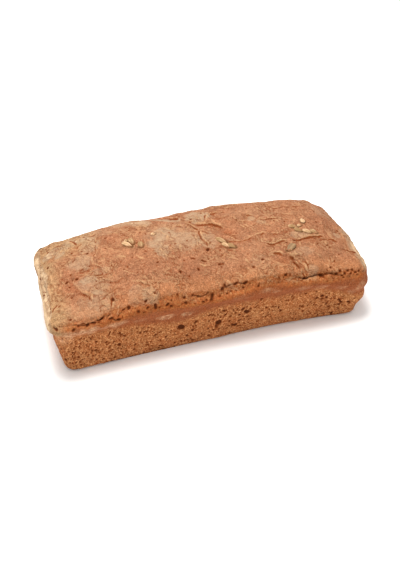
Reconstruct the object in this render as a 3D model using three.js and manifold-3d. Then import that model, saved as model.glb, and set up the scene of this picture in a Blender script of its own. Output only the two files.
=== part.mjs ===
// Tin loaf: a bread that swelled over the rim of its tin, with a few seeds baked into the crust.
// Millimetres. X runs along the loaf, Y across it, Z up from the flat base.
import * as THREE from "three";
import { mergeVertices } from "three/addons/utils/BufferGeometryUtils.js";
import Module from "manifold-3d";

// Main sizes
const HALF_LENGTH = 150;
const HALF_WIDTH = 65.7;
const CREASE_HEIGHT = 59.5; // where the top crust tore free of the lip
const DOME_RISE = 18.8; // from the crease to the crown

// Flank: the wall that baked against the tin
const TAPER_END = 5.6;
const TAPER_SIDE = 2.4;
const BASE_CORNER = 10.5;
const BASE_EDGE = 3;
const FRONT_SWAY = 2; // the foot of the front wall wanders in and out
const FRONT_SWAY_PITCH = 320;

// Lip: the bead of crust that hangs over the flank
const LIP_OUT = 3.9;
const LIP_TALL = 18.3;
const LIP_FULLEST = 0.52; // the bead is widest this far up the lip
const LIP_AT_CREASE = 0.6; // share of the overhang that is left where the dome starts
const LIP_CORNER = 16;

// The lip rises and thickens in swells
const SWELL_PITCH = 104;
const SWELL_CREST = 45;
const SWELL_SKEW = 150;
const SWELL_RISE = 2.9;
const SWELL_TALL = 4.6;
const SWELL_LEAD_IN = 60;
const END_START = 95;
const END_RUN = 45;
const RIGHT_DROP = 5.7;
const RIGHT_TALLER = 4.5;
const LEFT_SHORTER = 2.6;

// Dome: how squarely the top falls away towards each side
const FALL_LEFT = { power: 4.2, soft: 0.8 };
const FALL_RIGHT = { power: 4.9, soft: 0.7 };
const FALL_FRONT = { power: 2.8, soft: 0.75 };
const FALL_BACK = { power: 3.1, soft: 0.52 };
const END_DIP = 2.9; // both ends sit lower than the middle

// Plan: the loaf left the tin slightly bent
const BEND_RIGHT = { reach: 3.9, power: 3 };
const BEND_LEFT = { reach: 6.8, power: 2.4 };
const BOW = { right: 4.2, left: 1.5, start: 0.3, run: 0.6 }; // start and run are shares of the half length
const EAR = { out: 3, reach: 18, side: 0.6 }; // front left corner of the lip
const TUCK = { out: 3.2, reach: 22 }; // front right corner of the lip
const ABOVE_FLANK = { below: 6, run: 10 }; // both fade in from just below the lip

// Crust relief
const LUMPS = [
  { size: 44, height: 1.5 },
  { size: 19, height: 0.9 },
];
const FLANK_LUMPS = [{ size: 26, height: 0.9 }];
const CREASE_DEPTH = 1;
const CREASE_REACH = 3.5;
const CREASE_BLEND = 6; // the top's relief fades out over this much of the lip
const CRAG = { size: 10, height: 1.3, reach: 8 };

// Places where the crust swells out or draws in: middle, reach each way, how far out
const SWELLINGS = [
  { at: [144, -60, 22], reach: [12, 16, 9], out: 4.6 },
  { at: [149, -60, 36], reach: [16, 16, 6], out: 1.4 },
  { at: [150, -12, 54], reach: [14, 20, 14], out: 2.2 },
  { at: [138, 52, 60], reach: [16, 14, 16], out: -1.6 },
  { at: [26, 54, 70], reach: [22, 18, 20], out: -1.2 },
  { at: [-94, 60, 66], reach: [28, 16, 30], out: -2.4 },
  { at: [-151, 34, 48], reach: [12, 12, 12], out: 1.8 },
  { at: [-152, -46, 53], reach: [10, 18, 10], out: 1.9 },
  { at: [-145, -44, 27], reach: [10, 12, 8], out: 2.4 },
  { at: [-150, -62, 14], reach: [14, 30, 20], out: 2.2 },
  { at: [-50, -61, 0], reach: [56, 12, 12], out: -1.2 },
];

// Folds of the top crust: a path in plan, how wide and how deep (a negative depth is a ridge)
const FOLDS = [
  { path: [[-23, 47], [-7, 33], [11, 22], [25, 5]], width: 5.5, depth: 2.2 },
  { path: [[4, 24], [1, 8], [2, -19]], width: 5, depth: 1.2 },
  { path: [[48, -12], [82, -16]], width: 4.5, depth: 1.4 },
  { path: [[62, -27], [78, -24], [117, -24]], width: 4.5, depth: 1.3 },
  { path: [[60, -37], [82, -45]], width: 5, depth: -1.3 },
  { path: [[77, -51], [83, -60]], width: 4.5, depth: 1.8 },
  { path: [[127, -40], [142, -35]], width: 4.5, depth: 1 },
  { path: [[-84, -30], [-63, -40]], width: 5, depth: -1.2 },
  { path: [[-132, -41], [-148, -51]], width: 5, depth: 1.5 },
  { path: [[-124, 26], [-100, 28]], width: 5, depth: 1.4 },
  { path: [[-112, 44], [-88, 36], [-70, 43]], width: 5, depth: 1.4 },
  { path: [[-40, 0], [-20, 22], [-14, 44]], width: 6, depth: 1.1 },
];

// Seeds: place in plan, way they point (degrees from +X), size and the share that stands proud
const SUNFLOWER = { thickness: 0.45 }; // of the width
const PUMPKIN = { thickness: 0.35 };
const SEEDS = [
  { kind: SUNFLOWER, x: -67, y: 7, turn: -48, length: 11.8, width: 6, proud: 0.6 },
  { kind: SUNFLOWER, x: -62, y: 11, turn: -80, length: 10, width: 5.4, proud: 0.5 },
  { kind: SUNFLOWER, x: -66, y: 14, turn: 36, length: 5, width: 3.6, proud: 0.5 },
  { kind: SUNFLOWER, x: -55, y: 3, turn: -98, length: 9.6, width: 5.6, proud: 0.5 },
  { kind: SUNFLOWER, x: -40, y: 16, turn: 40, length: 5.5, width: 4.6, proud: 0.3 },
  { kind: SUNFLOWER, x: 18, y: -12, turn: -50, length: 12.4, width: 5.8, proud: 0.6 },
  { kind: SUNFLOWER, x: 20, y: -19, turn: -56, length: 9, width: 5.2, proud: 0.5 },
  { kind: SUNFLOWER, x: 25, y: -21, turn: -47, length: 9.4, width: 5, proud: 0.6 },
  { kind: SUNFLOWER, x: 104, y: 2, turn: 75, length: 8.4, width: 5.6, proud: 0.6 },
  { kind: SUNFLOWER, x: 91, y: -6, turn: -9, length: 9.8, width: 5, proud: 0.4 },
  { kind: SUNFLOWER, x: 98, y: -5, turn: 12, length: 5, width: 3.6, proud: 0.4 },
  { kind: SUNFLOWER, x: 94, y: -12, turn: -40, length: 8.6, width: 5.4, proud: 0.6 },
  { kind: SUNFLOWER, x: 102, y: -15, turn: -34, length: 9.6, width: 5.6, proud: 0.5 },
  { kind: SUNFLOWER, x: 109, y: -15, turn: -47, length: 8.8, width: 5.8, proud: 0.4 },
  { kind: PUMPKIN, x: 78, y: -35, turn: 48, length: 14, width: 7.4, proud: 0.45 },
];
const SEED_SIDES = 6;
const SEED_STEPS = 4;
const SEED_SHIFT = 0.75; // below 1 the fullest part sits nearer the blunt end
const SEED_ROUNDING = 0.9;
const LOOK_DOWN_FROM = 200; // where the search for the crust under a seed starts

// Mesh fineness
const CELLS_LONG = 66;
const CELLS_ACROSS = 29;
const CELLS_UP = 15;
const FLANK_SHARE = 0.4; // of the rows up the wall; the rest are on the lip
const SINK = 4; // the wall runs on below the base before it is cut flat
const SAME_SPOT = 1e-4;
const SLIVER = 1e-6;

// Hash that gives the crust's random values
const HASH = { x: 127.1, y: 311.7, z: 74.7, gain: 43758.5453 };

const CRUST_COLOUR = "#b8764c";

const wasm = await Module();
wasm.setup();

// 0 below zero, 1 above one, smooth between
function ease(t) {
  const s = THREE.MathUtils.clamp(t, 0, 1);
  return s * s * (3 - 2 * s);
}

function swell(x, y) {
  return Math.cos(2 * Math.PI * ((x - SWELL_CREST) / SWELL_PITCH - (y + HALF_WIDTH) / SWELL_SKEW));
}

function creaseHeight(x, y) {
  return CREASE_HEIGHT + SWELL_RISE * swell(x, y) - RIGHT_DROP * ease((x - END_START) / END_RUN);
}

function lipHeight(x, y) {
  const swelled = SWELL_TALL * swell(x, y) * ease((x + HALF_LENGTH) / SWELL_LEAD_IN);
  const right = RIGHT_TALLER * ease((x - END_START) / END_RUN);
  const left = LEFT_SHORTER * ease((-x - END_START) / END_RUN);
  return LIP_TALL + swelled + right - left;
}

// A point of the square [-1, 1] x [-1, 1], carried onto a rectangle with round corners
function roundedPlan(a, b, halfX, halfY, radius) {
  const x = a * halfX;
  const y = b * halfY;
  const innerX = THREE.MathUtils.clamp(x, radius - halfX, halfX - radius);
  const innerY = THREE.MathUtils.clamp(y, radius - halfY, halfY - radius);
  const dx = x - innerX;
  const dy = y - innerY;
  const distance = Math.hypot(dx, dy);
  const squeeze = distance > 0 ? Math.max(Math.abs(dx), Math.abs(dy)) / distance : 1;
  return [innerX + dx * squeeze, innerY + dy * squeeze];
}

// The lip's section: it leaves the flank gently, is widest about its middle and turns in to the crease
function beadProfile(t) {
  return t < LIP_FULLEST
    ? ease(t / LIP_FULLEST)
    : 1 - (1 - LIP_AT_CREASE) * ((t - LIP_FULLEST) / (1 - LIP_FULLEST)) ** 2;
}

// The wall, c from 0 below the base to 1 at the crease: base edge, straight taper, then the lip
function wallPoint(a, b, c) {
  const x = a * HALF_LENGTH;
  const y = b * HALF_WIDTH;
  const crease = creaseHeight(x, y);
  const lip = lipHeight(x, y);
  const foot = crease - lip;
  const z = c < FLANK_SHARE
    ? THREE.MathUtils.lerp(-SINK, foot, c / FLANK_SHARE)
    : THREE.MathUtils.lerp(foot, crease, (c - FLANK_SHARE) / (1 - FLANK_SHARE));
  const bead = LIP_OUT * beadProfile(THREE.MathUtils.clamp((z - foot) / lip, 0, 1));
  const belowEdge = THREE.MathUtils.clamp(1 - z / BASE_EDGE, 0, 1);
  const edge = BASE_EDGE * (1 - Math.sqrt(1 - belowEdge ** 2));
  const up = THREE.MathUtils.clamp(z / foot, 0, 1);
  const sway = b < 0 ? FRONT_SWAY * Math.sin((2 * Math.PI * x) / FRONT_SWAY_PITCH) : 0;
  const halfX = HALF_LENGTH - LIP_OUT - TAPER_END * (1 - up) + bead - edge;
  const halfY = HALF_WIDTH - LIP_OUT - (TAPER_SIDE + sway) * (1 - up) + bead - edge;
  const radius = THREE.MathUtils.lerp(BASE_CORNER, LIP_CORNER, up);
  return [...roundedPlan(a, b, halfX, halfY, radius), z];
}

function fall(t, { power, soft }) {
  return Math.max(1 - Math.abs(t) ** power, 0) ** soft;
}

function domePoint(a, b) {
  const inset = LIP_OUT * (1 - LIP_AT_CREASE);
  const [x, y] = roundedPlan(a, b, HALF_LENGTH - inset, HALF_WIDTH - inset, LIP_CORNER);
  const long = fall(a, a < 0 ? FALL_LEFT : FALL_RIGHT);
  const across = fall(b, b < 0 ? FALL_FRONT : FALL_BACK);
  const rim = creaseHeight(a * HALF_LENGTH, b * HALF_WIDTH);
  return [x, y, THREE.MathUtils.lerp(rim, CREASE_HEIGHT + DOME_RISE, long * across)];
}

// Bend in plan, bowed ends, low ends, and the two uneven corners of the lip
function leanOut([x, y, z]) {
  const right = Math.max(x / HALF_LENGTH, 0);
  const left = Math.max(-x / HALF_LENGTH, 0);
  const height = z / (CREASE_HEIGHT + DOME_RISE);
  const bend = BEND_RIGHT.reach * right ** BEND_RIGHT.power + BEND_LEFT.reach * left ** BEND_LEFT.power;
  const bowRight = BOW.right * ease((right - BOW.start) / BOW.run);
  const bowLeft = BOW.left * ease((left - BOW.start) / BOW.run);
  const onLip = ease((z - (CREASE_HEIGHT - LIP_TALL - ABOVE_FLANK.below)) / ABOVE_FLANK.run);
  const ear = onLip * Math.exp(-((x + HALF_LENGTH) ** 2 + (y + HALF_WIDTH) ** 2) / EAR.reach ** 2);
  const tuck = onLip * Math.exp(-((x - HALF_LENGTH) ** 2 + (y + HALF_WIDTH) ** 2) / TUCK.reach ** 2);
  return [
    x + (bowRight - bowLeft) * (1 - (y / HALF_WIDTH) ** 2) - EAR.out * ear - TUCK.out * tuck,
    y - bend - EAR.out * EAR.side * ear,
    z - height * END_DIP * (right + left) ** 2,
  ];
}

// Repeatable random value from -1 to 1 for each corner of a unit lattice
function latticeValue(i, j, k) {
  const wave = Math.sin(i * HASH.x + j * HASH.y + k * HASH.z) * HASH.gain;
  return 2 * (wave - Math.floor(wave)) - 1;
}

// Lattice values blended smoothly: bumps of about one unit
function noise(x, y, z) {
  const cell = [x, y, z].map(Math.floor);
  const blend = [x, y, z].map((value, axis) => ease(value - cell[axis]));
  let sum = 0;
  for (let corner = 0; corner < 8; corner += 1) {
    const step = [corner & 1, (corner >> 1) & 1, corner >> 2];
    const weight = step.reduce((w, s, axis) => w * (s ? blend[axis] : 1 - blend[axis]), 1);
    sum += weight * latticeValue(cell[0] + step[0], cell[1] + step[1], cell[2] + step[2]);
  }
  return sum;
}

function lumps(list, x, y, z) {
  return list.reduce((sum, { size, height }) => sum + height * noise(x / size, y / size, z / size), 0);
}

// Distance in plan from a point to a path of straight runs
function distanceToPath(x, y, path) {
  let nearest = Infinity;
  for (let i = 1; i < path.length; i += 1) {
    const [fromX, fromY] = path[i - 1];
    const [toX, toY] = path[i];
    const runX = toX - fromX;
    const runY = toY - fromY;
    const along = ((x - fromX) * runX + (y - fromY) * runY) / (runX ** 2 + runY ** 2);
    const t = THREE.MathUtils.clamp(along, 0, 1);
    nearest = Math.min(nearest, Math.hypot(x - fromX - t * runX, y - fromY - t * runY));
  }
  return nearest;
}

function swelling(x, y, z) {
  return SWELLINGS.reduce((sum, { at, reach, out }) => {
    const [dx, dy, dz] = [x, y, z].map((value, axis) => (value - at[axis]) / reach[axis]);
    return sum + out * Math.exp(-(dx ** 2 + dy ** 2 + dz ** 2));
  }, 0);
}

function foldRelief(x, y) {
  return FOLDS.reduce((sum, fold) => {
    const distance = distanceToPath(x, y, fold.path);
    return sum - fold.depth * Math.exp(-((distance / fold.width) ** 2));
  }, 0);
}

// How far the skin stands out from the plain form; fromCrease is positive on the dome's side
function relief(x, y, z, topShare, fromCrease) {
  const crease = -CREASE_DEPTH * Math.exp(-((fromCrease / CREASE_REACH) ** 2));
  const torn = Math.exp(-((fromCrease / CRAG.reach) ** 2));
  const crags = CRAG.height * torn * noise(x / CRAG.size, y / CRAG.size, z / CRAG.size);
  const top = lumps(LUMPS, x, y, z) + foldRelief(x, y);
  const side = lumps(FLANK_LUMPS, x, y, z);
  return THREE.MathUtils.lerp(side, top, topShare) + crease + crags + swelling(x, y, z);
}

// A closed grid over the cube, carried onto the loaf's plain form
function plainForm() {
  const cube = new THREE.BoxGeometry(2, 2, 1, CELLS_LONG, CELLS_ACROSS, CELLS_UP);
  cube.deleteAttribute("normal");
  cube.deleteAttribute("uv");
  const form = mergeVertices(cube, SAME_SPOT);
  const position = form.getAttribute("position");
  const kinds = [];
  for (let i = 0; i < position.count; i += 1) {
    const a = position.getX(i);
    const b = position.getY(i);
    const c = position.getZ(i) + 0.5;
    const onTop = c > 1 - SLIVER;
    const underside = c < SLIVER;
    const point = leanOut(onTop ? domePoint(a, b) : wallPoint(a, b, c));
    if (underside) {
      point[2] = -SINK;
    }
    const fromCrease = onTop
      ? Math.min((1 - Math.abs(a)) * HALF_LENGTH, (1 - Math.abs(b)) * HALF_WIDTH)
      : point[2] - creaseHeight(a * HALF_LENGTH, b * HALF_WIDTH);
    const topShare = onTop ? 1 : ease(1 + fromCrease / CREASE_BLEND);
    kinds.push({ topShare, fromCrease, underside });
    position.setXYZ(i, ...point);
  }
  return { form, kinds };
}

function loafGeometry() {
  const { form, kinds } = plainForm();
  form.computeVertexNormals();
  const position = form.getAttribute("position");
  const normal = form.getAttribute("normal");
  kinds.forEach(({ topShare, fromCrease, underside }, i) => {
    const [x, y, z] = [position.getX(i), position.getY(i), position.getZ(i)];
    const out = underside ? 0 : relief(x, y, z, topShare, fromCrease);
    position.setXYZ(i, x + out * normal.getX(i), y + out * normal.getY(i), z + out * normal.getZ(i));
  });
  form.deleteAttribute("normal");
  return form;
}

// Merged, closed and without collapsed faces, ready for joining and cutting
function toSolid(geometry) {
  geometry.deleteAttribute("normal");
  geometry.deleteAttribute("uv");
  const merged = mergeVertices(geometry, SAME_SPOT);
  const index = merged.getIndex().array;
  const faces = [];
  for (let i = 0; i < index.length; i += 3) {
    const [p, q, r] = index.slice(i, i + 3);
    if (p !== q && q !== r && r !== p) {
      faces.push(p, q, r);
    }
  }
  const vertProperties = new Float32Array(merged.getAttribute("position").array);
  return new wasm.Manifold(new wasm.Mesh({ numProp: 3, vertProperties, triVerts: new Uint32Array(faces) }));
}

function toGeometry(solid) {
  const mesh = solid.getMesh();
  const geometry = new THREE.BufferGeometry();
  geometry.setAttribute("position", new THREE.BufferAttribute(mesh.vertProperties, 3));
  geometry.setIndex(new THREE.BufferAttribute(mesh.triVerts, 1));
  return geometry;
}

// A kernel: pointed at one end, round at the other, flattened
function seedGeometry({ kind, length, width }) {
  const profile = [];
  for (let i = 0; i <= SEED_STEPS; i += 1) {
    const t = i / SEED_STEPS;
    const round = Math.sin(Math.PI * t ** SEED_SHIFT) ** SEED_ROUNDING;
    const radius = i === 0 || i === SEED_STEPS ? 0 : (width / 2) * round;
    profile.push(new THREE.Vector2(radius, (t - 0.5) * length));
  }
  const seed = new THREE.LatheGeometry(profile, SEED_SIDES);
  seed.scale(1, 1, kind.thickness);
  return seed;
}

// The crust's height and slope under a point, found by looking straight down on the loaf
function crustUnder(caster, skin, x, y) {
  caster.set(new THREE.Vector3(x, y, LOOK_DOWN_FROM), new THREE.Vector3(0, 0, -1));
  const [hit] = caster.intersectObject(skin);
  return hit;
}

function placedSeed(seed, caster, skin) {
  const hit = crustUnder(caster, skin, seed.x, seed.y);
  const up = hit.face.normal.clone();
  const turn = THREE.MathUtils.degToRad(seed.turn);
  const heading = new THREE.Vector3(Math.cos(turn), Math.sin(turn), 0);
  const across = new THREE.Vector3().crossVectors(heading, up).normalize();
  heading.crossVectors(up, across);
  const pose = new THREE.Matrix4().makeBasis(across, heading, up);
  const lift = (seed.proud - 0.5) * seed.width * seed.kind.thickness;
  pose.setPosition(hit.point.clone().addScaledVector(up, lift));
  return seedGeometry(seed).applyMatrix4(pose);
}

function buildLoaf() {
  const skinGeometry = loafGeometry();
  const skin = new THREE.Mesh(skinGeometry.clone());
  const caster = new THREE.Raycaster();
  let solid = toSolid(skinGeometry);
  const below = new THREE.BoxGeometry(4 * HALF_LENGTH, 4 * HALF_WIDTH, 4 * SINK);
  below.translate(0, 0, -2 * SINK);
  solid = solid.subtract(toSolid(below));
  for (const seed of SEEDS) {
    solid = solid.add(toSolid(placedSeed(seed, caster, skin)));
  }
  const geometry = toGeometry(solid);
  geometry.computeBoundingBox();
  const middle = geometry.boundingBox.getCenter(new THREE.Vector3());
  geometry.translate(-middle.x, -middle.y, 0);
  return geometry;
}

const loaf = new THREE.Mesh(
  buildLoaf(),
  new THREE.MeshStandardMaterial({ color: CRUST_COLOUR, roughness: 0.85, metalness: 0 }),
);
loaf.name = "loaf";

const group = new THREE.Group();
group.add(loaf);

export default group;
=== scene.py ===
"""Tin loaf: a pan bread that swelled over the rim of its tin, with kernels baked into its floury top.

Shapes are worked out in millimetres in the loaf's own plan (X along it, Y across it, Z up from
its base) and moved to the frame, in metres, when a mesh is made.
"""

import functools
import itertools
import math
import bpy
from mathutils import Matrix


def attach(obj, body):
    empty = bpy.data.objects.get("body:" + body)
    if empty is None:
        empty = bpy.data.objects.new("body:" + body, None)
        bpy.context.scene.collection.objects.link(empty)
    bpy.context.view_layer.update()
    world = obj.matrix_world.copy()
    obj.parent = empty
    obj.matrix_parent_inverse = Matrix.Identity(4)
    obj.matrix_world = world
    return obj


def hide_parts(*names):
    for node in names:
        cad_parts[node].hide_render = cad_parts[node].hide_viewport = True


bl_info = {
    "name": "Tin loaf",
    "version": (1, 0, 0),
    "blender": (4, 5, 0),
    "location": "View3D > Sidebar > Loaf",
    "description": "A pan bread with a swollen lip, a floury domed top, pitted sides and baked-in kernels",
    "category": "Add Mesh",
}

import bpy
import numpy as np
from bpy.props import FloatProperty, FloatVectorProperty, PointerProperty
from bpy.types import Operator, Panel, PropertyGroup

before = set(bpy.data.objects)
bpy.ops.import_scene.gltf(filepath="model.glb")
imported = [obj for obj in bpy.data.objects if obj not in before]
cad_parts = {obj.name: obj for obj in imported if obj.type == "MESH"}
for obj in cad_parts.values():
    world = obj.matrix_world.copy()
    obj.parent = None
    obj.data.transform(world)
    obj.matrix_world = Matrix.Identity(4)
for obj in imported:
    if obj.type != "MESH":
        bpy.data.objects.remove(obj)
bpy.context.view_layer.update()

MM = 0.001

# Plain form of the loaf, the same sizes as the solid's, in millimetres
HALF_LENGTH = 150.0
HALF_WIDTH = 65.7
CREASE_HEIGHT = 59.5
DOME_RISE = 18.8
TAPER_END = 5.6
TAPER_SIDE = 2.4
BASE_CORNER = 10.5
BASE_EDGE = 3.0
FRONT_SWAY = 2.0
FRONT_SWAY_PITCH = 320.0
LIP_OUT = 3.9
LIP_TALL = 18.3
LIP_FULLEST = 0.52
LIP_AT_CREASE = 0.6
LIP_CORNER = 16.0
SWELL_PITCH = 104.0
SWELL_CREST = 45.0
SWELL_SKEW = 150.0
SWELL_RISE = 2.9
SWELL_TALL = 4.6
SWELL_LEAD_IN = 60.0
END_START = 95.0
END_RUN = 45.0
RIGHT_DROP = 5.7
RIGHT_TALLER = 4.5
LEFT_SHORTER = 2.6
FALL_LEFT = (4.2, 0.8)
FALL_RIGHT = (4.9, 0.7)
FALL_FRONT = (2.8, 0.75)
FALL_BACK = (3.1, 0.52)
END_DIP = 2.9
BEND_RIGHT = (3.9, 3.0)
BEND_LEFT = (6.8, 2.4)
BOW_RIGHT = 4.2
BOW_LEFT = 1.5
BOW_START = 0.3
BOW_RUN = 0.6
EAR_OUT, EAR_REACH, EAR_SIDE = 3.0, 18.0, 0.6
TUCK_OUT, TUCK_REACH = 3.2, 22.0
ABOVE_FLANK, ABOVE_FLANK_RUN = 6.0, 10.0
LUMPS = ((44.0, 1.5), (19.0, 0.9))
FLANK_LUMPS = ((26.0, 0.9),)
CREASE_DEPTH, CREASE_REACH, CREASE_BLEND = 1.0, 3.5, 6.0
CRAG_SIZE, CRAG_HEIGHT, CRAG_REACH = 10.0, 1.3, 8.0

# How far the plain form is drawn in before the fine relief, which stands proud of it
DRAWN_IN_TOP, DRAWN_IN_SIDE = 1.1, 0.6

# Places where the crust swells out or draws in: middle, reach each way, millimetres outward
SWELLINGS = (
    ((144, -60, 22), (12, 16, 9), 4.6),
    ((149, -60, 36), (16, 16, 6), 1.4),
    ((150, -12, 54), (14, 20, 14), 2.2),
    ((138, 52, 60), (16, 14, 16), -1.6),
    ((26, 54, 70), (22, 18, 20), -1.2),
    ((-94, 60, 66), (28, 16, 30), -2.4),
    ((-151, 34, 48), (12, 12, 12), 1.8),
    ((-152, -46, 53), (10, 18, 10), 1.9),
    ((-145, -44, 27), (10, 12, 8), 2.4),
    ((-150, -62, 14), (14, 30, 20), 2.2),
    ((-50, -61, 0), (56, 12, 12), -1.2),
)

# Where the frame's origin lies in the loaf's own plan
MIDDLE_X, MIDDLE_Y = 0.83, -3.15

# Way round the rim of the plan
AROUND = 4 * (HALF_LENGTH + HALF_WIDTH)

# Cells of the crust's mesh
CELLS_LONG = 300
CELLS_ACROSS = 130
CELLS_FLANK = 44
CELLS_LIP = 20
BASE_COARSER = 5  # cells of the base are this many of the top's wide
FLANK_CROWDING = 1.15  # above 1 the rows crowd towards the base
CURVE_SAMPLES = 4001
ON_BASE = 1e-6  # heights below this are put on the base

# Broad folds of the solid's top crust: path in plan, width, depth
FOLDS = (
    (((-23, 47), (-7, 33), (11, 22), (25, 5)), 5.5, 2.2),
    (((4, 24), (1, 8), (2, -19)), 5.0, 1.2),
    (((48, -12), (82, -16)), 4.5, 1.4),
    (((62, -27), (78, -24), (117, -24)), 4.5, 1.3),
    (((60, -37), (82, -45)), 5.0, -1.3),
    (((77, -51), (83, -60)), 4.5, 1.8),
    (((127, -40), (142, -35)), 4.5, 1.0),
    (((-84, -30), (-63, -40)), 5.0, -1.2),
    (((-132, -41), (-148, -51)), 5.0, 1.5),
    (((-124, 26), (-100, 28)), 5.0, 1.4),
    (((-112, 44), (-88, 36), (-70, 43)), 5.0, 1.4),
    (((-40, 0), (-20, 22), (-14, 44)), 6.0, 1.1),
)

# Creases of the top's skin: path in plan with the raised side on its left, how far the skin lifts there,
# how far back that reaches, and how deep the cut beside it is
CREASES = (
    (((-22, 50), (-8, 38), (-2, 31), (4, 25), (12, 21), (19, 17), (23, 14), (28, 7)), 1.0, 5.0, 1.6),
    (((-5, 25), (0, 17), (3, 9), (2, 2), (2, -4), (4, -11), (6, -17)), 0.8, 4.0, 1.0),
    (((3, 12), (7, 5), (11, -1), (15, -6)), 0.5, 3.0, 0.7),
    (((13, 42), (16, 33), (13, 24)), 0.9, 4.0, 0.8),
    (((19, 34), (27, 34), (36, 37)), 0.8, 4.0, 0.9),
    (((22, 26), (30, 24), (39, 27)), 0.5, 3.0, 0.6),
    (((43, -15), (36, -17), (31, -13), (27, -5), (25, 5)), 0.9, 4.0, 1.0),
    (((28, -16), (35, -17), (43, -15), (51, -11), (60, -10), (70, -13), (79, -15)), 0.7, 3.0, 0.8),
    (((46, -12), (53, -18), (60, -25), (64, -27), (71, -25), (81, -24)), 0.8, 3.5, 1.0),
    (((83, -24), (90, -26), (98, -24), (106, -23), (118, -22)), 1.0, 4.0, 1.3),
    (((102, -25), (112, -27), (120, -26)), 0.5, 3.0, 0.7),
    (((59, -39), (65, -42), (71, -45), (78, -49)), 1.1, 3.5, 1.2),
    (((77, -43), (82, -46), (88, -45)), 0.5, 3.0, 0.7),
    (((76, -50), (79, -54), (82, -58), (83, -63)), 1.3, 3.0, 1.8),
    (((84, -49), (87, -54), (88, -60)), 0.6, 2.5, 0.7),
    (((128, -39), (135, -38), (144, -40)), 0.6, 2.5, 1.2),
    (((119, -27), (128, -29)), 0.6, 3.0, 0.9),
    (((81, 31), (92, 31), (106, 30), (116, 31)), 0.5, 3.0, 0.7),
    (((62, 15), (69, 12), (79, 11), (85, 12)), 0.6, 3.0, 0.8),
    (((50, 26), (60, 22)), 0.5, 3.0, 1.0),
    (((40, 16), (48, 13), (56, 14)), 0.4, 3.0, 0.5),
    (((-126, 33), (-131, 29), (-137, 23)), 1.2, 4.0, 1.9),
    (((-101, 41), (-104, 39), (-111, 35)), 0.9, 4.0, 1.1),
    (((-93, 20), (-96, 26), (-102, 34)), 1.2, 3.5, 2.0),
    (((-111, 27), (-114, 33), (-117, 38)), 0.8, 3.0, 1.5),
    (((-85, -28), (-97, -25), (-109, -22)), 0.9, 3.5, 1.0),
    (((-140, 36), (-132, 39), (-124, 37)), 0.6, 3.0, 0.6),
    (((-105, 27), (-112, 21), (-120, 22)), 0.9, 4.0, 0.8),
    (((-104, 38), (-98, 38), (-90, 41)), 0.6, 3.0, 0.7),
    (((-93, 20), (-96, 4), (-100, -2)), 0.6, 3.0, 0.6),
    (((-64, -36), (-72, -31), (-79, -26)), 0.7, 3.0, 0.5),
    (((-52, -45), (-62, -44), (-73, -39)), 0.6, 3.0, 0.4),
    (((-84, -40), (-92, -40), (-98, -38)), 0.4, 3.0, 0.5),
    (((-128, -39), (-134, -41), (-140, -44), (-147, -51)), 1.2, 4.0, 1.2),
    (((-141, -46), (-136, -44)), 0.4, 2.0, 1.2),
    (((-136, -51), (-131, -55)), 0.4, 2.0, 0.6),
    (((-93, -51), (-94, -55), (-97, -63)), 0.8, 3.0, 0.9),
    (((-106, -20), (-101, -17)), 0.4, 2.0, 0.9),
    (((-117, -41), (-112, -46), (-110, -51)), 0.6, 3.0, 0.7),
    (((-20, 25), (-12, 20), (-8, 12)), 0.5, 3.0, 0.5),
    (((-48, 30), (-40, 31), (-30, 28)), 0.4, 3.0, 0.5),
    (((24, -15), (31, -17)), 0.3, 2.0, 0.8),
)

# Thin raised wrinkles of the top's skin: path in plan, height
WRINKLES = (
    (((-9, 34), (-5, 27), (-1, 21), (3, 17)), 0.9),
    (((5, 27), (10, 24), (15, 22)), 0.7),
    (((-2, 12), (4, 7)), 0.5),
    (((2, -6), (5, -13)), 0.7),
    (((9, 0), (13, -5), (22, -8)), 0.7),
    (((43, 10), (45, 5), (46, 1)), 0.8),
    (((47, 9), (49, 2)), 0.7),
    (((51, 0), (54, -6)), 0.6),
    (((-10, -37), (-4, -39), (1, -40)), 0.9),
    (((-5, -36), (2, -38)), 0.4),
    (((32, -40), (36, -45)), 0.7),
    (((38, -40), (43, -46)), 0.6),
    (((9, -56), (14, -62)), 0.8),
    (((19, -50), (24, -56)), 0.7),
    (((-63, -10), (-58, -21)), 0.7),
    (((-78, -6), (-72, -12)), 0.6),
    (((70, -41), (75, -45), (84, -45)), 0.8),
    (((80, -49), (85, -54), (87, -61)), 1.0),
    (((-101, 0), (-102, -10), (-98, -13)), 0.9),
    (((-124, -22), (-119, -34), (-111, -48)), 0.8),
    (((-115, -37), (-109, -46)), 0.6),
    (((-132, -36), (-124, -39)), 0.6),
    (((90, -28), (88, -35)), 0.6),
    (((-92, -66), (-89, -60)), 0.9),
    (((-141, 4), (-139, -20), (-140, -34)), 0.7),
    (((-145, -2), (-144, -22), (-146, -38)), 0.7),
    (((-134, 14), (-131, -2), (-133, -16)), 0.5),
    (((-120, 8), (-112, 4), (-104, -1)), 0.4),
    (((-87, -42), (-95, -50)), 0.5),
    (((98, -44), (106, -50)), 0.5),
    (((-40, -8), (-36, -24)), 0.5),
    (((-33, 20), (-28, 8), (-32, -2)), 0.5),
    (((-20, 2), (-14, 8), (-6, 10)), 0.4),
    (((56, 20), (62, 12), (66, 6)), 0.5),
)

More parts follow.
